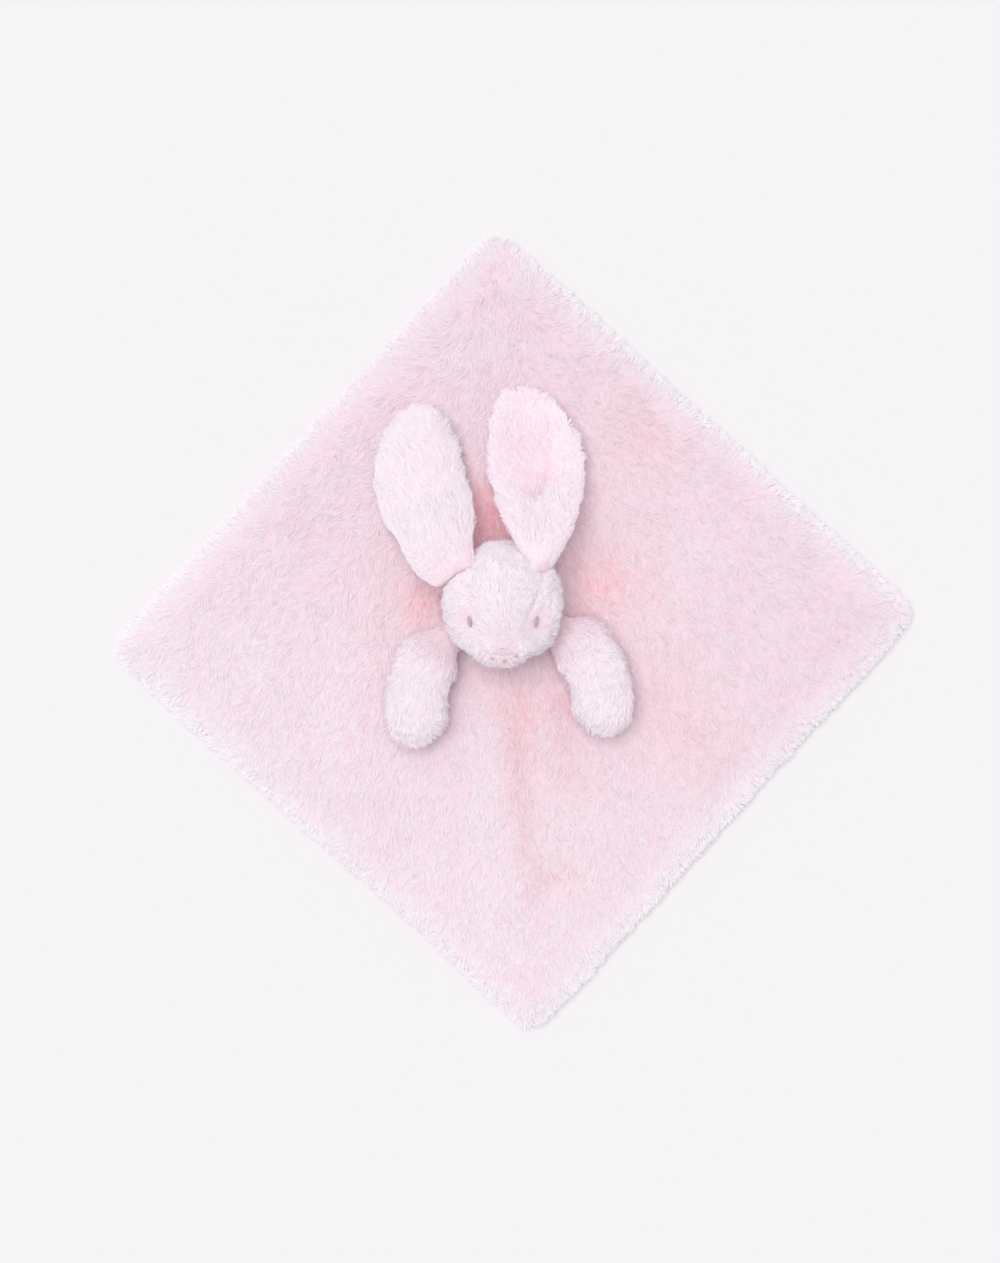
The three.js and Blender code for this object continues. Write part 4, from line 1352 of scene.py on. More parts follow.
    def thread_path(self) -> Array:
        """The seam's path: a rounded square inside the outline, open along the closing stitches."""
        half, bend = self.side / 2 - self.seam_inset, self.corner_radius - self.seam_inset
        t = np.linspace(0, 4, self.seam_points, endpoint=False)
        turn = math.pi / 2 * np.floor(t)
        run = 2 * (t % 1) - 1
        square = np.stack([np.full_like(run, half), run * half], -1)
        inner = np.clip(square, bend - half, half - bend)
        path = inner + unit(square - inner) * bend
        path = np.stack(turned_flat(*path.T, turn), -1)
        start = int(np.argmax((path[:, 1] > self.closing_length / 2) & (path[:, 0] > half - 0.1)))
        path = np.roll(path, -start, 0)
        path = path[~((path[:, 0] > half - 0.1) & (np.abs(path[:, 1]) <= self.closing_length / 2))]
        return self.spun(np.concatenate([path, np.full((len(path), 1), self.middle)], -1))

    def closing_path(self) -> Array:
        """The hand stitches: a wave to and fro across the seam line, along the gap."""
        half, free = self.side / 2 - self.seam_inset, self.closing_length / 2 - self.closing_ends
        t = np.linspace(-1, 1, self.closing_points)
        swing = self.closing_swing * np.sin(t * self.closing_waves * math.pi)
        return self.spun(np.stack([half + swing, t * free, np.full_like(t, self.middle)], -1))

    def build(self, finishes: Finishes) -> None:
        """Makes the two panels, their pile and their threads.

        Args:
            finishes: the object's finishes.
        """
        half = self.side / 2 - self.rim_room
        steps = self.coordinates(half)
        top = self.sheet(steps, half, self.middle - self.half_gap - self.pile_room, True)
        bottom = self.sheet(steps, half, -(self.middle - self.half_gap - self.under_room), False)
        for word, outer, up, pile, seed in (
            ("back", bottom, -1, self.back_pile, 22), ("front", top, 1, self.front_pile, 21),
        ):
            inner = outer.copy()
            inner[..., 2] = self.middle + up * self.half_gap
            rim = np.abs(outer[..., 2] - inner[..., 2]) < self.rim_gap
            inner[..., 2] -= np.where(rim, up * self.rim_gap, 0)
            cover = cloth_panel(f"blanket_{word}_cloth", outer, inner)
            dress(cover, finishes.blanket_ground, "blanket")
            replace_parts(cover, f"blanket_{word}_panel")
            plush = Plush(pile, seed)
            tufts = plush.grow(self.roots(plush, Skin.of_grid(outer, False, up < 0), up > 0))
            tufts.points[..., 2] = np.maximum(tufts.points[..., 2], self.lowest)
            pieces = dress_pile(tufts, f"blanket_{word}_pile", tufts.place[:, 1], finishes.blanket_pile,
                                "blanket", 1024)
        radius, pitch = self.thread_radius, self.thread_pitch
        seam = twisted_thread("blanket_seam_stitches", self.thread_path(), radius, pitch, sides=4)
        closing = twisted_thread("blanket_closing_stitches", self.closing_path(), radius, pitch)
        for thread, node in ((seam, "blanket_seam_thread"), (closing, "blanket_closing_thread")):
            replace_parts(dress(thread, finishes.pink_thread, "blanket"), node)


# ---------------------------------------------------------------- head


@dataclass(frozen=True)
class Egg:
    """An egg-shaped swelling, by its middle and half sizes across, upwards and forwards."""

    middle: Triple
    half: Triple


@dataclass
class Head:
    """The stuffed head: skull, muzzle and cheeks as one cover with two forehead seams, and its face."""

    centre: Triple = (-5.9, 19.0, 44.4)
    pitch_deg: float = 37.0
    eggs: tuple[Egg, ...] = (
        Egg((0, 0, 0), (35.5, 31, 36)),
        Egg((0, -8, 19), (20, 16.5, 22)),
        Egg((15, -9, 12), (17, 17, 17)),
        Egg((-15, -9, 12), (17, 17, 17)),
    )
    blend_power: float = 12.0
    pile_room: float = 1.4
    start_room: float = 3.0
    seam_deg: float = 44.0
    seam_depth: float = 1.3
    seam_half_deg: float = 6.5
    seam_start_deg: Pair = (22, 48)
    lump_depth: float = 0.5
    rings: int = 54
    around: int = 104
    eye_place: Triple = (20.5, 11.6, 26.2)
    dimple_depth: float = 2.6
    dimple_radius: float = 6.5
    short_round_eye: float = 6.0
    nose_way: Triple = (0, -2.5, 41.0)
    short_round_nose: float = 8.0
    eye_shortening: float = 0.55
    nose_shortening: float = 0.5
    # In the eye dimples and under the chin the pinker pile is painted shade; round the nose it is a pinker
    # tint.
    eye_blush: float = 0.45
    nose_blush: float = 0.25
    painted_chin_shade: float = 0.2
    chin_reach: Pair = (0.35, 0.9)
    top_flow: Triple = (0.45, 0.25, -1.0)
    cheek_flow: Triple = (0.9, -1.0, -0.55)
    flow_change_deg: Pair = (-8, 16)
    wad_inset: float = 7.0
    wad_lumps: float = 0.8
    wad_rings: int = 28
    wad_around: int = 44
    ear_place: Triple = (23.0, 22.0, -10.5)
    neck_centre: Triple = (-5.9, 0.5, 19.3)
    neck_radius: float = 7.4
    neck_low: float = 11.8
    pleats: int = 14
    pleat_depth: float = 0.5
    neck_lean: float = 0.3
    # The neck's pinker pile is painted shade under the head.
    painted_neck_shade: float = 0.1
    parting: float = 7.0
    neck_pile: Pile = Pile(spacing=0.7, length=3.2, width=0.6, rise=12, lie=4)
    pile: Pile = Pile(spacing=0.56, length=5.8, width=0.6, rise=16, lie=5, stray=15, clump=0.4)

    def __post_init__(self) -> None:
        """Works out the head's axes, as rows: across, upwards and forwards."""
        pitch = math.radians(self.pitch_deg)
        self.axes = np.array([
            [1, 0, 0], [0, math.sin(pitch), math.cos(pitch)], [0, -math.cos(pitch), math.sin(pitch)],
        ])
        self.lump = Ripple(wavelength=26.0, seed=31)

    def place(self, own: Array) -> Array:
        """Points in the head's own axes, in the part's frame."""
        return np.asarray(own, float) @ self.axes + np.array(self.centre)

    def swung(self, points: Array, degrees: float) -> Array:
        """Points turned about the neck's upright axis."""
        middle = np.array(self.neck_centre)
        x, y, z = np.moveaxis(points - middle, -1, 0)
        return middle + np.stack([*turned_flat(x, y, math.radians(degrees)), z], -1)

    def own(self, points: Array) -> Array:
        """Points of the part's frame in the head's own axes."""
        return (points - np.array(self.centre)) @ self.axes.T

    def reach(self, ways: Array) -> Array:
        """How far the surface is from the middle, along unit ways in the head's own axes.

        Each egg's far side lies at r = (b + sqrt(b^2 - a c)) / a, and the reaches blend as the n-th root of
        the sum of their n-th powers, where n is the blend's power.

        Args:
            ways: unit vectors in the head's own axes.

        Returns:
            The distances in millimetres.
        """
        reaches = []
        for egg in self.eggs:
            middle, half = np.array(egg.middle, float), np.array(egg.half, float)
            a, b = ((ways / half) ** 2).sum(-1), (ways * middle / half**2).sum(-1)
            c = ((middle / half) ** 2).sum() - 1
            under = b * b - a * c
            reaches.append(np.where(under > 0, np.maximum(0, (b + np.sqrt(np.maximum(under, 0))) / a), 0))
        stack = np.array(reaches)
        longest = stack.max(0)
        return longest * ((stack / longest) ** self.blend_power).sum(0) ** (1 / self.blend_power)

    def carved(self, ways: Array) -> Array:
        """How deep seams, eye dimples and slow lumps press the cover in, along unit ways.

        Args:
            ways: unit vectors in the head's own axes.

        Returns:
            The depths in millimetres.
        """
        around = np.degrees(np.abs(np.arctan2(ways[..., 0], ways[..., 1])))
        away = np.degrees(np.arccos(np.clip(ways[..., 2], -1, 1)))
        seam = self.seam_depth * bell(around - self.seam_deg, self.seam_half_deg)
        depth = seam * ramp(away, *self.seam_start_deg)
        for gap in self.eye_gaps(ways):
            depth = depth + self.dimple_depth * bell(gap, self.dimple_radius)
        return depth + self.lump_depth * self.lump.at(ways * self.eggs[0].half[0])

    def eye_gaps(self, ways: Array) -> list[Array]:
        """How far unit ways pass beside each eye's middle, at the eye's distance from the head's middle."""
        eyes = [np.array(self.eye_place) * np.array([side.value, 1, 1]) for side in Side]
        return [np.linalg.norm(ways - unit(eye), axis=-1) * np.linalg.norm(eye) for eye in eyes]

    def skin(self, rings: int, around: int, inset: float) -> tuple[Array, list[Array]]:
        """The surface as rings from the nose to the back.

        Args:
            rings: how many rings there are.
            around: how many points a ring has.
            inset: how far the surface is moved in.

        Returns:
            The rings' points and the two poles.
        """
        away = np.linspace(0, math.pi, rings + 2)[1:-1]
        turn = np.linspace(0, 2 * math.pi, around, endpoint=False)
        poles = [self.surface(np.array(end), np.array(0.0), inset) for end in (0.0, math.pi)]
        return self.surface(*np.meshgrid(away, turn, indexing="ij"), inset), poles

    def surface(self, away: Array, around: Array, inset: float) -> Array:
        """Points of the surface: away is the angle from the nose, around the angle from the crown."""
        ways = np.stack([np.sin(away) * np.sin(around), np.sin(away) * np.cos(around), np.cos(away)], -1)
        return self.place(ways * (self.reach(ways) - inset)[..., None])

    def sewn(self, points: Array) -> Array:
        """Points of the swollen cover, kept within the pile's room and pressed in by seams and dimples.

        Args:
            points: (n, 3), in the part's frame.

        Returns:
            The points.
        """
        own = self.own(points)
        ways = unit(own)
        far = np.minimum(np.linalg.norm(own, axis=-1), self.reach(ways) - self.pile_room)
        return self.place(ways * (far - self.carved(ways))[..., None])

    def on_surface(self, own: Triple, inset: float) -> tuple[Array, Array]:
        """Where the way towards a place in the head's axes meets the surface, and that way out."""
        way = unit(np.array(own, float))
        return self.place(way * (self.reach(way) - inset)), way @ self.axes

    def flow(self, points: Array) -> Array:
        """The way the pile lies: up from the nose over the forehead, and back and out over the cheeks.

        Args:
            points: (n, 3), in the part's frame.

        Returns:
            A vector for each point, in the part's frame.
        """
        own = self.own(points)
        around = np.degrees(np.abs(np.arctan2(own[:, 0], own[:, 1])))
        top = 1 - ramp(around - self.seam_deg, *self.flow_change_deg)[:, None]
        across = np.tanh(own[:, :1] / self.parting)
        mirrored = np.concatenate([across, np.ones_like(across), np.ones_like(across)], 1)
        ways = np.array(self.top_flow) * top + np.array(self.cheek_flow) * (1 - top)
        return (ways * mirrored) @ self.axes

    def build(self, finishes: Finishes) -> None:
        """Makes the cover, its pile, the filling and the gathered neck.

        Args:
            finishes: the object's finishes.
        """
        grid, poles = self.skin(self.rings, self.around, self.start_room)
        cover = Swelling().swell(closed_form("head_cover", grid, *poles))
        reshape(cover, self.sewn(read_points(cover.data)))
        dress(cover, finishes.bunny_ground, "head")
        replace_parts(cover, "head_gusset", "head_left_panel", "head_right_panel")
        plush = Plush(self.pile, seed=41)
        ways = unit(self.own(read_points(cover.data)))
        place = np.stack([np.arctan2(ways[:, 0], ways[:, 1]), np.arccos(np.clip(ways[:, 2], -1, 1))], -1)
        points, normals, place = plush.spots(Skin.of_mesh(cover.data, place))
        normals = normals * np.sign(dot(normals, points - np.array(self.centre)))
        own, nose = unit(self.own(points)), np.array(self.nose_way)
        near_eye = np.maximum(*(bell(gap, self.short_round_eye) for gap in self.eye_gaps(own)))
        near_nose = bell(np.linalg.norm(own - unit(nose), axis=-1) * nose[2], self.short_round_nose)
        length = 1 - self.eye_shortening * near_eye - self.nose_shortening * near_nose
        # Painted shade, as pink, in the eye dimples and under the chin; round the nose the pile is pinker.
        blush = self.eye_blush * near_eye + self.nose_blush * near_nose
        blush = np.clip(blush + self.painted_chin_shade * ramp(-own[:, 1], *self.chin_reach), 0, 1)
        tufts = plush.grow(Roots(points, normals, self.flow(points), place, length, blush))
        dress_pile(tufts, "head_pile", points[:, 1], finishes.bunny_pile, "head")
        self.inside(finishes)
        self.neck(finishes)

    def inside(self, finishes: Finishes) -> None:
        """The wad of filling, with small lumps.

        Args:
            finishes: the object's finishes.
        """
        grid, poles = self.skin(self.wad_rings, self.wad_around, self.wad_inset)
        tuft, middle = Ripple(wavelength=7.0, seed=33), np.array(self.centre)

        def lumpy(points: Array) -> Array:
            """Points moved in or out by the noise."""
            return points + unit(points - middle) * (self.wad_lumps * tuft.at(points))[..., None]

        filling = closed_form("head_stuffing", lumpy(grid), *(lumpy(pole) for pole in poles))
        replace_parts(dress(filling, finishes.filling, "head"), "head_filling")

    def neck(self, finishes: Finishes) -> None:
        """The gathered neck, a ball with pleats, and its pile, which hangs down.

        Args:
            finishes: the object's finishes.
        """
        away = np.linspace(0, math.pi, self.wad_rings + 2)[1:-1]
        turn = np.linspace(0, 2 * math.pi, self.wad_around, endpoint=False)
        away, turn = np.meshgrid(away, turn, indexing="ij")
        radius = self.neck_radius + self.pleat_depth * np.cos(self.pleats * turn) * np.sin(away)
        ways = np.stack([np.sin(away) * np.cos(turn), np.sin(away) * np.sin(turn), np.cos(away)], -1)
        middle = np.array(self.neck_centre)
        grid = middle + ways * radius[..., None]
        poles = (middle + UP * self.neck_radius, middle - UP * self.neck_radius)
        neck = closed_form("neck_gathers", grid, *poles)
        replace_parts(dress(neck, finishes.bunny_ground, "head"), "neck_gather")
        plush = Plush(self.neck_pile, seed=43)
        points, normals, place = plush.spots(Skin.of_grid(grid, True))
        normals = normals * np.sign(dot(normals, points - middle))
        down = self.neck_lean * normals - UP
        # Its pile gets a little painted shade, as pink, under the head.
        tufts = plush.grow(Roots(points, normals, down, place, 1.0, self.painted_neck_shade))
        tufts.points[..., 2] = np.maximum(tufts.points[..., 2], self.neck_low)
        dress_pile(tufts, "neck_pile", points[:, 1], finishes.bunny_pile, "head")


def satin_oval(name: str, middle: Array, out: Array, up: Array, half: Triple,
               rows: int, along_height: bool) -> bpy.types.Object:
    """An oval of satin stitch: side-by-side threads that each arch from one edge of the oval to the other.

    A row's thread is a closed tube along a half ellipse, whose ends lie on the oval and whose top stands as
    high as the oval is there. Threads overlap their neighbours, are sunk by a share of their height, and thin
    towards their ends as sqrt(1 - t^4).

    Args:
        name: the piece's name.
        middle: the oval's middle.
        out: the way it faces.
        up: a way towards its top.
        half: half its width, half its height and how far it stands out.
        rows: how many threads it has.
        along_height: whether the threads run up and down and not across.

    Returns:
        The object.
    """
    side = unit(np.cross(up, out))
    top = unit(np.cross(out, side))
    run_way, row_way = (top, side) if along_height else (side, top)
    run_half, row_half = (half[1], half[0]) if along_height else (half[0], half[1])
    t = np.linspace(-1, 1, SATIN_STEPS)[:, None]
    thick = row_half / rows * SATIN_OVERLAP * np.sqrt(np.maximum(SATIN_ENDS, 1 - t**4))
    bodies = []
    for row in range(rows):
        share = (row + 0.5) / rows * 2 - 1
        reach = math.sqrt(max(SATIN_SHORTEST, 1 - share**2))
        height = (np.sqrt(np.maximum(0, 1 - t**2)) * reach - SATIN_SUNK) * half[2]
        line = middle + run_way * t * run_half * reach + row_way * share * row_half + out * height
        rise = unit(np.cross(row_way, unit(np.gradient(line, axis=0))))
        bodies.append(tube(line, thick * row_way, thick * rise, SATIN_SIDES))
    return tubes(name, np.array(bodies))


@dataclass
class Face:
    """The embroidered face: two eyes, a nose and three mouth stitches."""

    eye_half: Triple = (1.25, 3.6, 1.2)
    eye_lean: float = 0.5
    nose_place: Triple = (-0.4, -0.8, 41.0)
    nose_half: Triple = (6.0, 4.0, 1.3)
    mouth: tuple[tuple[str, float, float], ...] = (
        ("left", 8.2, -4.0), ("centre", 1.0, -6.2), ("right", -6.4, -5.2))
    stitch_half: Triple = (1.1, 1.4, 0.9)
    eye_inset: float = 1.6
    nose_inset: float = 1.2
    stitch_inset: float = 0.6
    eye_rows: int = 11
    nose_rows: int = 17
    stitch_rows: int = 3

    def build(self, head: Head, finishes: Finishes) -> None:
        """Makes each piece of thread on the head's surface.

        Args:
            head: the head.
            finishes: the object's finishes.
        """
        crown = head.axes[1]
        for side in Side:
            own = (head.eye_place[0] * side.value, *head.eye_place[1:])
            middle, out = head.on_surface(own, self.eye_inset)
            lean = crown + self.eye_lean * side.value * head.axes[0]
            name = f"eye_{side.word}_satin"
            eye = satin_oval(name, middle, out, lean, self.eye_half, self.eye_rows, False)
            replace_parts(dress(eye, finishes.eye_thread, "head"), f"eye_{side.word}")
        middle, out = head.on_surface(self.nose_place, self.nose_inset)
        nose = satin_oval("nose_satin", middle, out, crown, self.nose_half, self.nose_rows, True)
        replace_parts(dress(nose, finishes.nose_thread, "head"), "nose")
        for word, across, up in self.mouth:
            middle, out = head.on_surface((across, up, self.nose_place[2]), self.stitch_inset)
            name = f"mouth_{word}_stitch"
            stitch = satin_oval(name, middle, out, crown, self.stitch_half, self.stitch_rows, True)
            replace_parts(dress(stitch, finishes.mouth_thread, "head"), f"mouth_stitch_{word}")


# ---------------------------------------------------------------- ears


@dataclass(frozen=True)
class EarLie:
    """How an ear lies, seen from above: its heading, its bow to the right, its roll, its cup and its fold."""

    heading_deg: float
    bow: float
    roll_deg: float
    length: float
    cup: float
    widest: float
    slimness: float
    lobe: float
    rim_fold: float


@dataclass
class Ear:
    """An unstuffed ear of two plush panels, pleated at its root and laid back on the blanket."""

    side: Side
    lie: EarLie
    length: float = 106.0
    half_width: float = 28.5
    neck_half_width: float = 6.5
    cup_depth: float = 8.0
    lobe_out: float = 8.0
    lobe_sag: float = 13.0
    fold_height: float = 4.8
    creases: tuple[Triple, ...] = (
        (-0.06, 0.7, -0.7), (0.2, 0.5, -0.5), (0.3, 0.0, -0.15), (0.36, -0.25, 0.05), (0.46, -0.5, 0.24),
        (0.58, -0.72, 0.42), (0.72, -0.85, 0.6))
    layer: float = 4.6
    rest: float = 14.0
    drop: float = 0.5
    pile_room: float = 2.0
    rim_room: float = 1.6
    bulb: float = 6.6
    bulb_room: float = 0.4
    root_reach: Pair = (0.0, 0.15)
    lobe_start: Pair = (-0.065, 0.06)
    lobe_end: Pair = (0.1, 0.36)
    fold_start: Pair = (-0.05, 0.1)
    fold_end: Pair = (0.36, 0.72)
    left_fold: float = 0.7
    half_gap: float = 0.15
    rim_lift: float = 0.6
    even_steps: float = 0.35
    rows: int = 72
    columns: int = 54
    right_crease: Pair = (-0.08, 0.3)
    left_crease: Pair = (-0.34, 0.08)
    edge_start: float = 0.55
    edge_flow: Pair = (0.6, 1.0)
    edge_shortening: Pair = (0.4, 0.15)
    tip_start: float = 0.8
    hollow_edge: Pair = (0.1, 0.15)
    # The hollow's pinker pile is painted shade.
    painted_hollow_shade: float = 0.3
    hollow_start: Pair = (0.26, 0.36)
    hollow_end: Pair = (0.6, 0.95)
    hollow_end_loss: float = 0.8
    # A pinker line along the right crease is painted shade.
    painted_crease_shade: float = 0.35
    crease_gap: float = 0.1
    crease_width: float = 0.14
    crease_start: Pair = (0.26, 0.32)
    crease_end: Pair = (0.45, 0.6)
    hollow_shortening: float = 0.25
    hollow_width: float = 0.6
    hollow_reach: Pair = (0.2, 0.4)
    # The pinker pile near the root, by the head, is painted shade.
    painted_root_shade: float = 0.12
    painted_root_shade_end: float = 0.3
    root_length: float = 0.7
    root_length_reach: Pair = (0.05, 0.3)
    tack_at: float = 0.112
    tack_reach: float = 0.5
    tack_depth: float = 0.95
    tack_points: int = 40
    pile: Pile = Pile(spacing=0.6, length=6.2, width=0.62, rise=11, lie=2.5, stray=11)

    def __post_init__(self) -> None:
        """Works out the unit vectors along the ear's heading and to its right."""
        heading = math.radians(self.lie.heading_deg)
        self.ahead, self.beside = headed(heading), headed(heading - math.pi / 2)

    def half_width_at(self, along: Array) -> Array:
        """Half the width at a share of the length: a quarter ellipse past the widest place, a sine before.

        Args:
            along: from 0 at the root to 1 at the tip.

        Returns:
            The half widths in millimetres.
        """
        lie = self.lie
        past = np.clip((along - lie.widest) / (1 - lie.widest), 0, 1)
        before = np.clip(along / lie.widest, 0, 1)
        full, neck = self.half_width - self.rim_room, self.neck_half_width
        grown = neck + (full - neck) * np.sin(math.pi / 2 * before) ** lie.slimness
        whole = np.where(along > lie.widest, full * np.sqrt(np.maximum(0, 1 - past**2)), grown)
        return whole * self.closing(along)

    def closing(self, along: Array) -> Array:
        """How much of its full section the root has left, as a quarter circle back from the root's middle."""
        back = np.clip(-along * self.length / self.bulb, 0, 1)
        return np.sqrt(1 - back**2)

    def steps(self) -> Array:
        """The rows' places along the ear, closer together near the root and the tip."""
        start, end = -0.995 * self.bulb / self.length, 1 - 0.5 * self.rim_room / self.length
        t = np.linspace(0, 1, self.rows)
        eased = 0.5 - 0.5 * np.cos(math.pi * t)
        return start + (end - start) * (self.even_steps * t + (1 - self.even_steps) * eased)

    def half_thickness_at(self, along: Array) -> Array:
        """Half the ear's thickness in its middle: a full round root that thins to the two flat panels."""
        panel = self.layer - self.pile_room
        full = self.bulb - self.bulb_room
        return (panel + (full - panel) * (1 - ramp(along, *self.root_reach))) * self.closing(along)

    def point(self, root: Array, along: Array, wide: Array, high: Array) -> Array:
        """A point of the ear.

        Its middle line runs along its heading, bows by a sine, and comes down to rest over half its length;
        across, the surface curls with the square of the distance from that line.

        Args:
            root: the middle of its root.
            along: from 0 at the root to 1 at the tip.
            wide: from -1 to 1, to its right.
            high: how far above the two panels' meeting surface.

        Returns:
            The points.
        """
        lie = self.lie
        length, cup = self.length * lie.length, self.cup_depth * lie.cup
        rest = self.rest + self.layer + max(0, -cup)
        fall = ramp(along, 0, self.drop)
        share = np.clip(along / self.drop, 0, 1)
        slope = (rest - root[2]) * 6 * share * (1 - share) / (self.drop * length)
        upright = unit(self.ahead * -slope[..., None] + UP)
        flare = lie.lobe * ramp(along, *self.lobe_start) * (1 - ramp(along, *self.lobe_end)) * (wide < 0)
        out = (self.half_width_at(along) + self.lobe_out * flare) * wide
        sag = self.lobe_sag * flare * np.abs(wide)
        curl = cup * (out / self.half_width) ** 2
        roll = math.tan(math.radians(lie.roll_deg)) * out
        bow = lie.bow * length * np.sin(math.pi * along)
        line = root + np.stack([0 * along, 0 * along, (rest - root[2]) * fall], -1)
        return (line + self.ahead * (along * length - sag)[..., None] + self.beside * (out + bow)[..., None]
                + upright * (curl + roll + high)[..., None])

    def creases_at(self, along: Array) -> tuple[Array, Array]:
        """Where across the ear its hollow ends, on its left and on its right: they cross at the pleat."""
        at, left, right = np.array(self.creases).T
        return np.interp(along, at, left), np.interp(along, at, right)

    def fold_at(self, along: Array, wide: Array) -> Array:
        """How thick the rolled rims lie on the upper panel: steep at a crease, round at the ear's edge.

        Args:
            along: from 0 at the root to 1 at the tip.
            wide: from -1 to 1, to its right.

        Returns:
            The thicknesses in millimetres.
        """
        left, right = self.creases_at(along)
        fade = ramp(along, *self.fold_start) * (1 - ramp(along, *self.fold_end))
        round_off = np.sqrt(np.maximum(0, 1 - np.abs(wide) ** 3))
        right_rim = ramp(wide - right, *self.right_crease)
        left_rim = self.left_fold * (1 - ramp(wide - left, *self.left_crease))
        return self.fold_height * self.lie.rim_fold * fade * np.maximum(right_rim, left_rim) * round_off

    def face(self, root: Array, side: int, share: float) -> Array:
        """One face of a panel as a grid.

        Args:
            root: the middle of the ear's root.
            side: 1 for the upper panel and -1 for the lower one.
            share: how far out the face is, from 0 for the inner face to 1 for the outer one.

        Returns:
            (rows, columns, 3), its rows closer together near the root and the tip.
        """
        along = self.steps()
        wide = np.sin(np.linspace(-1, 1, self.columns) * math.pi / 2)
        a, w = np.meshgrid(along, wide, indexing="ij")
        flat = np.sqrt(np.maximum(0, 1 - np.abs(w) ** (2 + 2 * ramp(a, 0, 0.2))))
        tip = np.minimum(1, self.half_width_at(a) / (2 * self.layer))
        tip = np.where(a > 0.5, tip, 1)
        thick = self.half_thickness_at(a) * (0.05 + tip * flat)
        if side > 0:
            thick = thick + self.fold_at(a, w)
        return self.point(root, a, w, side * (self.half_gap + share * thick))

    def build(self, head: Head, finishes: Finishes) -> None:
        """Makes the two panels, their pile and the tack at the root.

        Args:
            head: the head.
            finishes: the object's finishes.
        """
        root = head.place(np.array(head.ear_place) * np.array([self.side.value, 1, 1]))
        word = self.side.word
        body = f"ear_{word}"
        names = ("front", "back") if self.lie.cup > 0 else ("back", "front")
        for name, side in zip(names, (1, -1), strict=True):
            outer, inner = self.face(root, side, 1.0), self.face(root, side, 0.0)
            panel = cloth_panel(f"ear_{word}_{name}_cloth", outer, inner)
            dress(panel, finishes.bunny_ground, body)
            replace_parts(panel, f"ear_{word}_{name}_panel")
            hollow = name == "front" and side == 1
            plush = Plush(self.pile, seed=50 + self.side.value * 3 + side)
            skin = Skin.of_grid(outer, False)
            points, normals, place = plush.spots(skin)
            facing = side * np.sign(dot(skin.normals, UP).mean())
            normals = unit(normals * facing + self.rim_lift * side * UP)
            tufts = plush.grow(self.roots(points, normals, place, side, hollow))
            finish = finishes.hollow_pile if hollow else finishes.bunny_pile
            pile_name = f"ear_{word}_{name}_pile"
            pieces = dress_pile(tufts, pile_name, points[:, 1], finish, body, 512)
        spot = np.full(self.tack_points, self.tack_at)
        wide = np.linspace(-self.tack_reach, self.tack_reach, self.tack_points)
        line = self.point(root, spot, wide, self.tack_depth * self.half_thickness_at(spot))
        tack = twisted_thread(f"ear_{word}_tack_stitch", line, radius=0.7, pitch=3.0)
        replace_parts(dress(tack, finishes.pink_thread, body), f"ear_{word}_tack")

    def roots(self, points: Array, normals: Array, place: Array, side: int, hollow: bool) -> Roots:
        """Where a panel's tufts grow: they lie along the ear, and near its edges outwards, short below.

        Args:
            points: their places.
            normals: the panel's normals there.
            place: their places on the panel's grid, from 0 to 1.
            side: 1 for the upper panel and -1 for the lower one.
            hollow: whether it is the cupped front panel, which gets painted shade in its hollow and along its
                right crease.

        Returns:
            The roots.
        """
        wide = np.sin((place[:, 0] / (1 - 1 / self.columns) - 0.5) * math.pi)
        along = np.interp(place[:, 1], np.linspace(0, 1, self.rows), self.steps())
        edge = ramp(np.abs(wide), self.edge_start, 1.0) * np.sign(wide)
        tip = ramp(along, self.tip_start, 1.0)
        aside = edge * self.edge_flow[side > 0]
        flows = self.ahead * (1 + tip)[:, None] + self.beside * aside[:, None]
        if hollow:
            left, right = self.creases_at(along)
            low, high = self.hollow_edge
            inside = ramp(wide - left, -low, high) * (1 - ramp(wide - right, -high, low))
            inside = inside * ramp(along, *self.hollow_start)
            # Painted shade, as pink, in the hollow and along its right crease.
            blush = self.painted_hollow_shade * inside * (1 - self.hollow_end_loss * ramp(along, *self.hollow_end))
            crease = bell(wide - right + self.crease_gap, self.crease_width) * ramp(along, *self.crease_start)
            blush = blush + self.painted_crease_shade * crease * (1 - ramp(along, *self.crease_end))
            shorter = bell(wide, self.hollow_width) * ramp(along, *self.hollow_reach)
            length = 1 - self.hollow_shortening * shorter
        else:
            # Painted shade, as pink, near the root by the head.
            blush, length = self.painted_root_shade * (1 - ramp(along, 0, self.painted_root_shade_end)), 1.0
        length = length * (1 - self.edge_shortening[side > 0] * np.maximum(np.abs(edge), tip))
        length = length * (self.root_length + (1 - self.root_length) * ramp(along, *self.root_length_reach))
        return Roots(points, normals, flows, place, length, blush)


# ---------------------------------------------------------------- arms


@dataclass(frozen=True)
class ArmLie:
    """How an arm lies: where its root is beside the neck, its heading there, its bend and its length."""

    beside: float
    ahead: float
    heading_deg: float
    bend_deg: float
    length: float


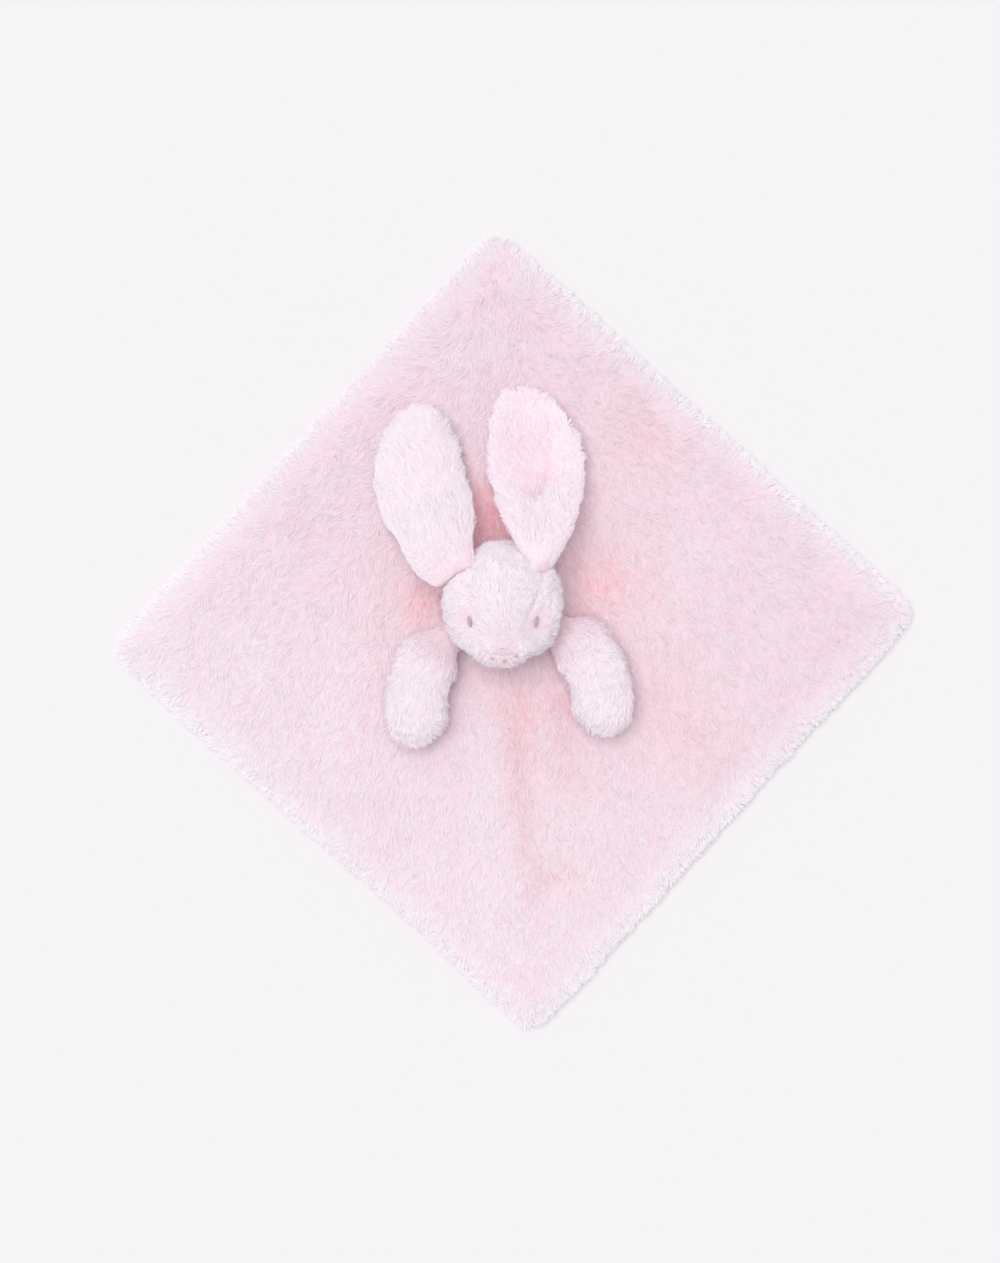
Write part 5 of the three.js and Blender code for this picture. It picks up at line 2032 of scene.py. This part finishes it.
@dataclass
class Arm:
    """A stuffed arm of two plush panels, from its flattened root under the cheek to its round paw."""

    side: Side
    lie: ArmLie
    root_radius: float = 8.8
    root_half_width: float = 11.5
    root_lift: float = 0.75
    half_width: float = 19.6
    half_height: float = 14.6
    tip_radius: float = 17.0
    swell: float = 18.0
    length: float = 77.0
    low: float = 11.3
    pile_room: float = 0.8
    start_room: float = 2.0
    head_room: float = 2.2
    head_swing_deg: float = 12.0
    swing_ease: float = 1.2
    halvings: int = 14
    droop: float = 0.35
    # The pinker pile near the root, under the cheek, is painted shade.
    painted_root_shade: float = 0.25
    painted_root_shade_reach: Pair = (0.05, 0.4)
    root_length: float = 0.75
    root_length_end: float = 0.3
    underside_share: float = 0.6
    seam_depth: float = 0.9
    seam_width: float = 0.16
    rings: int = 46
    around: int = 64
    wad_inset: float = 6.2
    wad_rings: int = 22
    tack_radius: float = 7.0
    tack_height: float = 11.75
    tack_points: int = 60
    pile: Pile = Pile(spacing=0.6, length=6.0, width=0.62, rise=15, lie=4, stray=12)

    FLAT = math.cos(math.pi / 10)

    def root(self, head: Head) -> Array:
        """The middle of the arm's root.

        Args:
            head: the head.

        Returns:
            The point, in the part's frame.
        """
        width = head.eggs[0].half[0]
        return np.array([
            head.centre[0] + self.lie.beside * width, head.neck_centre[1] + self.lie.ahead * width,
            self.low + self.root_lift + self.root_radius * self.FLAT,
        ])

    def point(self, head: Head, along: Array, around: Array, inset: float) -> Array:
        """A point of the arm's surface.

        The middle line is an arc. The section is an ellipse that swells from the root's to the full size over
        the swell's length, and closes as a quarter circle at both ends.

        Args:
            head: the head that it is sewn beside.
            along: from 0 at the root's end to 1 at the paw's.
            around: the angle round the section, from the arm's right upwards.
            inset: how far the surface is moved in.

        Returns:
            The points.
        """
        lie = self.lie
        length = self.length * lie.length
        distance = inset + along * (length + self.root_radius - 2 * inset) - self.root_radius
        bend = math.radians(lie.bend_deg) * np.maximum(0, distance / length)
        heading = math.radians(lie.heading_deg) + bend
        chord = distance * np.sinc(bend / 2 / math.pi)
        swell = ramp(distance, 0, self.swell)
        small = self.root_radius - inset
        start = np.where(distance < 0, np.sqrt(np.maximum(0, 1 - (distance / small) ** 2)), 1)
        width = start * (self.root_half_width - inset + (self.half_width - self.root_half_width) * swell)
        height = start * (small + (self.half_height - self.root_radius) * swell)
        past = (distance - (length - self.tip_radius)) / (self.tip_radius - inset)
        closing = np.where(past > 0, np.sqrt(np.maximum(0, 1 - np.maximum(past, 0) ** 2)), 1)
        upright = self.root_radius + (self.half_height - self.root_radius) * swell
        middle = self.root(head) + chord[..., None] * headed(heading - bend / 2)
        middle[..., 2] = self.low + self.root_lift * (1 - swell) + self.FLAT * upright
        seam = self.seam_depth * bell(np.abs(np.sin(around)), self.seam_width) * closing
        across = (width * closing - seam) * np.cos(around)
        points = middle + headed(heading - math.pi / 2) * across[..., None]
        points = points + UP * (height * closing * np.sin(around))[..., None]
        points[..., 2] = np.maximum(points[..., 2], self.low + self.underside_share * inset)
        return points

    def nearest(self, points: Array, others: Array) -> Array:
        """For each point, the number of the nearest of the others, where b^2 - 2ab is least."""
        return np.argmin((others**2).sum(-1)[None] - 2 * points @ others.T, axis=1)

    def sewn(self, points: Array, full: Array, middle: Array) -> Array:
        """Points of the swollen cover, kept within the full shape and above the arm's underside.

        Args:
            points: the cover's points.
            full: the nearest point of the full shape to each.
            middle: the middle of the section that it is in.

        Returns:
            The points, no further from the middle than the full shape is there.
        """
        far = np.linalg.norm(points - middle, axis=-1, keepdims=True)
        most = np.linalg.norm(full - middle, axis=-1, keepdims=True)
        kept = middle + (points - middle) * np.minimum(1, most / np.maximum(far, 1e-6))
        kept[:, 2] = np.maximum(kept[:, 2], self.low + self.underside_share * self.pile_room)
        return kept

    def under_head(self, head: Head, points: Array, clear: float) -> Array:
        """Points pressed down where the head lies on them or turns over them, until they are clear of it.

        The height is found by halving the interval between the arm's underside and the point.

        Args:
            head: the head.
            points: the points.
            clear: how far they are to stay from it at rest.

        Returns:
            The points.
        """
        low = np.minimum(points[..., 2], self.low + 1.0)
        high = points[..., 2].copy()

        def inside(z: Array) -> Array:
            """Whether points at these heights are too near the head, at rest or turned to either side.

            Args:
                z: a height for each point.

            Returns:
                Whether each point is too near.
            """
            place = points.copy()
            place[..., 2] = z
            hit = np.zeros(z.shape, bool)
            for swing in (-self.head_swing_deg, 0.0, self.head_swing_deg):
                own = head.own(head.swung(place, swing))
                room = clear - (self.swing_ease if swing else 0)
                hit |= np.linalg.norm(own, axis=-1) < head.reach(unit(own)) + room
            return hit

        hit = inside(high)
        for _ in range(self.halvings):
            middle = (low + high) / 2
            bad = inside(middle)
            high = np.where(bad, middle, high)
            low = np.where(bad, low, middle)
        pressed = points.copy()
        pressed[..., 2] = np.where(hit, low, points[..., 2])
        return pressed

    def build(self, head: Head, finishes: Finishes) -> None:
        """Makes the cover, its pile, the filling and the tack.

        Args:
            head: the head.
            finishes: the object's finishes.
        """
        word = self.side.word
        body = f"arm_{word}"
        along = np.linspace(0, 1, self.rings + 2)
        around = np.linspace(0, 2 * math.pi, self.around, endpoint=False)
        steps, turns = np.meshgrid(0.5 - 0.5 * np.cos(math.pi * along), around, indexing="ij")
        grid = self.point(head, steps, turns, self.start_room)
        cover = closed_form(f"arm_{word}_cover", grid[1:-1], grid[0].mean(0), grid[-1].mean(0))
        Swelling().swell(cover)
        full = self.point(head, steps, turns, self.pile_room).reshape(-1, 3)
        nearest = self.nearest(read_points(cover.data), full)
        middle = full.reshape(grid.shape).mean(1)[nearest // self.around]
        points = self.sewn(read_points(cover.data), full[nearest], middle)
        reshape(cover, self.under_head(head, points, self.head_room))
        dress(cover, finishes.bunny_ground, body)
        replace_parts(cover, f"arm_{word}_upper_panel", f"arm_{word}_lower_panel")
        plush = Plush(self.pile, seed=60 + self.side.value)
        place = np.stack([turns.reshape(-1)[nearest], steps.reshape(-1)[nearest]], -1)
        points, normals, place = plush.spots(Skin.of_mesh(cover.data, place))
        root = self.root(head)
        tufts = plush.grow(Roots(points, normals, *self.lay(place)))
        tufts.points[..., 2] = np.maximum(tufts.points[..., 2], self.low - 0.2)
        dress_pile(tufts, f"arm_{word}_pile", points[:, 1], finishes.bunny_pile, body, 512)
        wad = np.meshgrid(np.linspace(0, 1, self.wad_rings), around[::2], indexing="ij")
        inner = self.under_head(head, self.point(head, *wad, self.wad_inset), self.head_room + 3)
        filling = closed_form(f"arm_{word}_stuffing", inner[1:-1], inner[0].mean(0), inner[-1].mean(0))
        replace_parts(dress(filling, finishes.filling, body), f"arm_{word}_filling")
        turn = np.radians(self.lie.heading_deg + np.linspace(90, 270, self.tack_points))
        ring = root + headed(turn) * self.tack_radius
        ring[:, 2] = self.tack_height
        tack = twisted_thread(f"arm_{word}_tack_stitch", ring, radius=0.5, pitch=2.6)
        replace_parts(dress(tack, finishes.pink_thread, "blanket"), f"arm_{word}_tack")

    def lay(self, place: Array) -> tuple[Array, Array, Array, Array]:
        """The way the tufts lie, along the arc to the paw, with their map, length and painted shade.

        Args:
            place: each tuft's angle round the arm and share of its length.

        Returns:
            The ways, the places on the map, the shares of the full length and the painted shade near the root.
        """
        along = place[:, 1]
        heading = np.radians(self.lie.heading_deg + self.lie.bend_deg * along)
        flows = headed(heading, -self.droop)
        # Painted shade, as pink, near the root under the cheek.
        blush = self.painted_root_shade * (1 - ramp(along, *self.painted_root_shade_reach))
        length = self.root_length + (1 - self.root_length) * ramp(along, 0, self.root_length_end)
        return flows, place, length, blush


# ---------------------------------------------------------------- neck thread, stage


@dataclass
class NeckStitches:
    """The ring of thread that holds the neck to the blanket."""

    radius: float = 7.2
    height: float = 11.9
    points: int = 160

    def build(self, head: Head, finishes: Finishes) -> None:
        """Makes the thread round the head's neck.

        Args:
            head: the head.
            finishes: the object's finishes.
        """
        turn = np.linspace(0, 2 * math.pi, self.points, endpoint=False)
        ring = np.array(head.neck_centre) + headed(turn) * self.radius
        ring[:, 2] = self.height
        thread = twisted_thread("neck_ring_stitches", ring, radius=0.6, pitch=3.0, closed=True)
        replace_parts(dress(thread, finishes.pink_thread, "neck"), "neck_thread")


@dataclass
class Stage:
    """The pale seamless floor, the soft lights and the camera straight above. Lengths are in millimetres."""

    floor_codes: tuple[str, str] = ("#f2f2f3", "#f3f2f3")
    floor_bump: Pair = (0.05, 0.0002)
    floor_radius: float = 6000.0
    floor_corners: int = 96
    room_colour: tuple[float, float, float, float] = (0.97, 0.975, 1.0, 1)
    room_strength: float = 0.525
    seen_code: str = "#f6f5f7"
    window_way: Triple = (-0.16, 0.12, 0.98)
    window_strength: float = 1.68
    window_deg: float = 42.0
    window_colour: Triple = (1.0, 0.985, 0.97)
    sensor: float = 36.0
    camera_x: float = -7.6
    camera_height: float = 1500.0
    lens: float = 69.98
    bounces: int = 12

    def build(self) -> None:
        """Makes the floor, the lights, the world and the camera."""
        self.floor()
        scene = bpy.context.scene
        scene.view_settings.view_transform = "Standard"
        scene.cycles.diffuse_bounces = self.bounces
        world = bpy.data.worlds.new("soft_room")
        world.use_nodes = True
        scene.world = world
        n = Nodes(world.node_tree)
        room = world.node_tree.nodes["Background"]
        set_sockets(room, {"Color": self.room_colour, "Strength": self.room_strength})
        seen = n.add("Background", {"Color": linear(self.seen_code), "Strength": 1.0})
        ray = n.add("LightPath").outputs["Is Camera Ray"]
        mixed = n.add("MixShader", {0: ray, 1: room.outputs[0], 2: seen.outputs[0]})
        n.tree.links.new(mixed.outputs[0], world.node_tree.nodes["World Output"].inputs[0])
        self.window()
        camera = bpy.data.objects.new("camera", bpy.data.cameras.new("camera"))
        camera.location = (self.camera_x * MM, 0, self.camera_height * MM)
        camera.data.lens = self.lens
        camera.data.sensor_width = self.sensor
        scene.collection.objects.link(camera)
        scene.camera = camera

    def window(self) -> None:
        """A broad far lamp that shines from the window's way."""
        light = bpy.data.lights.new("window", "SUN")
        light.energy = self.window_strength
        light.angle = math.radians(self.window_deg)
        light.color = self.window_colour
        obj = bpy.data.objects.new("window", light)
        obj.rotation_euler = Vector(self.window_way).to_track_quat("Z", "Y").to_euler()
        bpy.context.scene.collection.objects.link(obj)

    def floor(self) -> None:
        """A wide round sheet of paper under the object."""
        turn = np.linspace(0, 2 * math.pi, self.floor_corners, endpoint=False)
        ring = headed(turn) * self.floor_radius
        floor = write_mesh("floor", ring, [list(range(self.floor_corners))], smooth=False)
        material, n, shader = start_material("paper")
        place = n.add("TexCoord").outputs["Object"]
        colour = n.mix(n.noise(place, 3.0), *map(linear, self.floor_codes))
        n.tree.links.new(colour, shader.inputs["Base Color"])
        sockets = {"Roughness": 0.9, "Specular IOR Level": 0.1}
        set_soft(n, shader, n.noise(place, 900.0), self.floor_bump, sockets)
        floor.data.materials.append(material)


def main() -> None:
    """Builds every part in order."""
    logging.basicConfig(level=logging.INFO, format="%(message)s")
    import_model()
    finishes = Finishes()
    Stage().build()
    Blanket().build(finishes)
    head = Head()
    head.build(finishes)
    Face().build(head, finishes)
    left_ear = EarLie(heading_deg=97, bow=0.045, roll_deg=-4, length=1, cup=1, widest=0.5, slimness=0.75,
                      lobe=0, rim_fold=1.0)
    right_ear = EarLie(heading_deg=108, bow=-0.11, roll_deg=3, length=0.92, cup=-0.9, widest=0.47,
                       slimness=1.25, lobe=1, rim_fold=0.0)
    left_arm = ArmLie(beside=0.87, ahead=-0.02, heading_deg=-20, bend_deg=-96, length=0.95)
    right_arm = ArmLie(beside=-0.89, ahead=-0.13, heading_deg=-143, bend_deg=80, length=0.91)
    for side, ear_lie, arm_lie in ((Side.LEFT, left_ear, left_arm), (Side.RIGHT, right_ear, right_arm)):
        Ear(side, ear_lie).build(head, finishes)
        Arm(side, arm_lie).build(head, finishes)
    NeckStitches().build(head, finishes)


if __name__ == "__main__":
    main()
